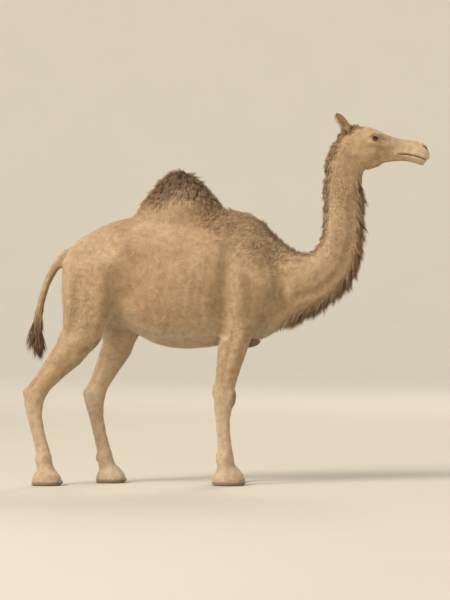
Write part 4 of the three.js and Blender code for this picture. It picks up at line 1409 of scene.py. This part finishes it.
class CAMEL_OT_coat(bpy.types.Operator):
    """Lay the short coat over the skin in small tufts"""

    bl_idname = "camel.coat"
    bl_label = "Short coat"
    bl_options = {"REGISTER", "UNDO"}

    def execute(self, context):
        sizes, colours = context.scene.camel_sizes, context.scene.camel_colours
        material = hair_material("short_coat", colours, 0.12)
        skin = SkinMap(bpy.data.objects["skin"].data)
        lengths = short_lengths(skin.middles, skin.fields)
        density = 1 / np.maximum(lengths, 0.006) ** 1.25
        left = skin.middles[:, 1] > 0
        pieces = {}
        for index, part in enumerate(BONE_NAMES):
            mine = skin.part == index
            if part == "trunk":
                pieces["coat_trunk_left"] = (part, mine & left)
                pieces["coat_trunk_right"] = (part, mine & ~left)
            else:
                pieces["coat_" + part] = (part, mine)
        weights = skin.areas * density * skin.furred
        totals = {name: float((weights * mine).sum()) for name, (_, mine) in pieces.items()}
        for index, (name, (part, mine)) in enumerate(pieces.items()):
            count = min(int(sizes.short_tufts * totals[name] / sum(totals.values())), MOST_TUFTS)
            rng = np.random.default_rng(COAT_SEED + index)
            points, normals = skin.draw(count, density * mine, rng)
            self.lay(name, part, points, normals, sizes, material, rng)
        return {"FINISHED"}

    def lay(self, name, part, points, normals, sizes, material, rng):
        """One piece of the coat: a tuft at each point, along the lie of the hair."""
        count = len(points)
        fields = hair_fields(points)
        length = short_lengths(points, fields) * rng.uniform(0.70, 1.20, count)
        shaggy = np.maximum(fields["hump"], np.maximum(fields["throat"], fields["crown"]))
        below = smooth_step(-0.3, -0.9, normals[:, 2])
        lift = (0.28 + 0.30 * shaggy + 0.20 * below - 0.06 * fields["face"]) * rng.uniform(0.4, 1.6, count)
        flow = hair_flow(points, normals)
        side = np.cross(flow, normals)
        flow = unit(flow + side * rng.normal(0, 0.09, count)[:, None])
        ways = flow * np.cos(lift)[:, None] + normals * np.sin(lift)[:, None]
        bends = -0.45 * normals * np.sin(lift)[:, None] + 0.15 * DOWN
        bends = bends + side * rng.normal(0, 0.12, count)[:, None]
        widths = np.clip(length * sizes.tuft_share, 0.0014, 0.0068)[:, None]
        rows, places = grown(points, ways, normals, length[:, None], widths, bends, SHORT_RINGS)
        marks = markings(points, fields)
        attributes = {"dark": marks["dark"], "pale": marks["pale"], "shade": rng.random(count)}
        patches = unwrapped(points, BONES[part][0])
        lean = EAR_LEAN if part.startswith("ear") else SHORT_LEAN
        mesh = tuft_mesh(name, rows, places, SHORT_RINGS, attributes, patches, normals, lean)
        finish_piece(name, mesh, material)


class CAMEL_OT_hair(bpy.types.Operator):
    """Grow the longer hair of hump, shoulders, neck, crown and tail in locks"""

    bl_idname = "camel.hair"
    bl_label = "Long hair"
    bl_options = {"REGISTER", "UNDO"}

    def execute(self, context):
        material = hair_material("long_hair", context.scene.camel_colours, 0.30)
        skin = SkinMap(bpy.data.objects["skin"].data)
        for index, (name, style) in enumerate(LONG_HAIR.items()):
            field, count, locks, longest, width, lift, droop, curl = style
            rng = np.random.default_rng(HAIR_SEED + index)
            share = skin.fields[field]
            points, normals = skin.draw(count, np.where(share > LEAST_HAIR, share, 0), rng)
            fields = hair_fields(points)
            fullness = fields[field]
            length = longest * (0.35 + 0.65 * fullness) * rng.uniform(0.75, 1.12, count)
            gather, lock = gathered(points, locks, rng)
            turn = rng.normal(0, 1, (locks, 3))[lock]
            flow = hair_flow(points, normals)
            lifts = (lift * (0.55 + 0.45 * fullness) * rng.uniform(0.75, 1.25, count))[:, None]
            ways = flow * np.cos(lifts) + normals * np.sin(lifts) + 0.14 * turn
            ways = ways + rng.normal(0, 0.07, (count, 3))
            bends = droop * DOWN + curl * 0.6 * turn - 0.4 * normals * np.sin(lifts) + 0.3 * flow
            widths = np.full((count, 1), width) * rng.uniform(0.7, 1.1, (count, 1))
            rows, places = grown(points, ways, normals, length[:, None], widths, bends, LONG_RINGS,
                                 LOCK_PULL * gather)
            marks = markings(points, fields)
            shade = np.clip(0.5 + 0.22 * turn[:, 0] + rng.normal(0, 0.16, count), 0, 1)
            attributes = {"dark": marks["dark"], "pale": marks["pale"], "shade": shade}
            patches = unwrapped(points, UNWRAP_LINES[name])
            mesh = tuft_mesh(name, rows, places, LONG_RINGS, attributes, patches, normals, LONG_LEAN)
            finish_piece(name, mesh, material)
        return {"FINISHED"}


class CAMEL_OT_stage(bpy.types.Operator):
    """Set out the floor, the lights and the camera"""

    bl_idname = "camel.stage"
    bl_label = "Stage"
    bl_options = {"REGISTER", "UNDO"}

    def execute(self, context):
        scene = context.scene
        stage = scene.camel_stage
        self.floor(scene.camel_colours)
        for name, (place, size, colour) in LIGHTS.items():
            self.light(name, place, size, getattr(stage, name + "_power"), colour)
        world = bpy.data.worlds.new("studio")
        world.use_nodes = True
        background = world.node_tree.nodes["Background"]
        background.inputs["Color"].default_value = SKY_COLOUR
        background.inputs["Strength"].default_value = stage.sky
        scene.world = world
        scene.view_settings.view_transform = "Standard"
        camera = bpy.data.objects.new("camera", bpy.data.cameras.new("camera"))
        scene.collection.objects.link(camera)
        camera.location = (CENTRE_SHIFT, -stage.camera_distance, PICTURE_MIDDLE)
        camera.rotation_euler = (math.radians(90), 0, 0)
        camera.data.sensor_width = 36
        camera.data.lens = camera.data.sensor_width * stage.camera_distance / stage.picture_height
        camera.data.clip_end = 200
        scene.camera = camera
        return {"FINISHED"}

    def floor(self, colours):
        """A wide round floor whose edge curves up into a wall all round."""
        shape = bmesh.new()
        places = [(radius, 0.0) for radius in FLOOR_RINGS]
        for step in range(1, BEND_STEPS + 1):
            turn = math.pi / 2 * step / BEND_STEPS
            places.append((FLOOR_REACH + FLOOR_BEND * math.sin(turn), FLOOR_BEND * (1 - math.cos(turn))))
        places.append((FLOOR_REACH + FLOOR_BEND, FLOOR_BEND + WALL_RISE))
        verts = [shape.verts.new((x, 0, z)) for x, z in places]
        edges = [shape.edges.new(pair) for pair in zip(verts, verts[1:])]
        bmesh.ops.spin(shape, geom=verts + edges, cent=(0, 0, 0), axis=(0, 0, 1), angle=2 * math.pi,
                       steps=ROUND_STEPS, use_merge=True)
        hole = [edge for edge in shape.edges if edge.is_boundary and edge.verts[0].co.length < 1]
        bmesh.ops.holes_fill(shape, edges=hole, sides=0)
        for face in shape.faces:
            outwards = abs(face.normal.z) < 0.01 and face.normal.dot(face.calc_center_median()) > 0
            if face.normal.z < 0 or outwards:
                face.normal_flip()
        mesh = mesh_from(shape, "floor")
        mesh.polygons.foreach_set("use_smooth", np.ones(len(mesh.polygons), bool))
        mesh.materials.append(ground_material(colours))
        add_object("studio_floor", mesh)

    def light(self, name, place, size, power, colour):
        """A square soft light that faces the animal, and that the camera doesn't see."""
        lamp = bpy.data.lights.new(name, "AREA")
        lamp.shape, lamp.size, lamp.energy, lamp.color = "SQUARE", size, power, colour
        made = bpy.data.objects.new(name, lamp)
        made.location = place
        made.rotation_euler = (LIT_SPOT - Vector(place)).to_track_quat("-Z", "Y").to_euler()
        made.visible_camera = False
        bpy.context.scene.collection.objects.link(made)


class CAMEL_PT_panel(bpy.types.Panel):
    """The steps that build the animal, in order"""

    bl_idname = "CAMEL_PT_panel"
    bl_label = "Dromedary"
    bl_space_type = "VIEW_3D"
    bl_region_type = "UI"
    bl_category = "Dromedary"

    def draw(self, context):
        for operator in OPERATORS:
            self.layout.operator(operator.bl_idname)
        for settings in (context.scene.camel_sizes, context.scene.camel_colours, context.scene.camel_stage):
            box = self.layout.box()
            for field in settings.__annotations__:
                box.prop(settings, field)


OPERATORS = (CAMEL_OT_skin, CAMEL_OT_eyes, CAMEL_OT_horn, CAMEL_OT_coat, CAMEL_OT_hair, CAMEL_OT_stage)
CLASSES = (CamelSizes, CamelColours, CamelStage, *OPERATORS, CAMEL_PT_panel)


def register():
    """Adds the classes to Blender, and the settings to its scenes."""
    for cls in CLASSES:
        bpy.utils.register_class(cls)
    bpy.types.Scene.camel_sizes = PointerProperty(type=CamelSizes)
    bpy.types.Scene.camel_colours = PointerProperty(type=CamelColours)
    bpy.types.Scene.camel_stage = PointerProperty(type=CamelStage)


def unregister():
    del bpy.types.Scene.camel_stage, bpy.types.Scene.camel_colours, bpy.types.Scene.camel_sizes
    for cls in reversed(CLASSES):
        bpy.utils.unregister_class(cls)


def main():
    """Builds every piece in order."""
    register()
    bpy.ops.camel.skin()
    bpy.ops.camel.eyes()
    bpy.ops.camel.horn()
    bpy.ops.camel.coat()
    bpy.ops.camel.hair()
    bpy.ops.camel.stage()


if __name__ == "__main__":
    main()
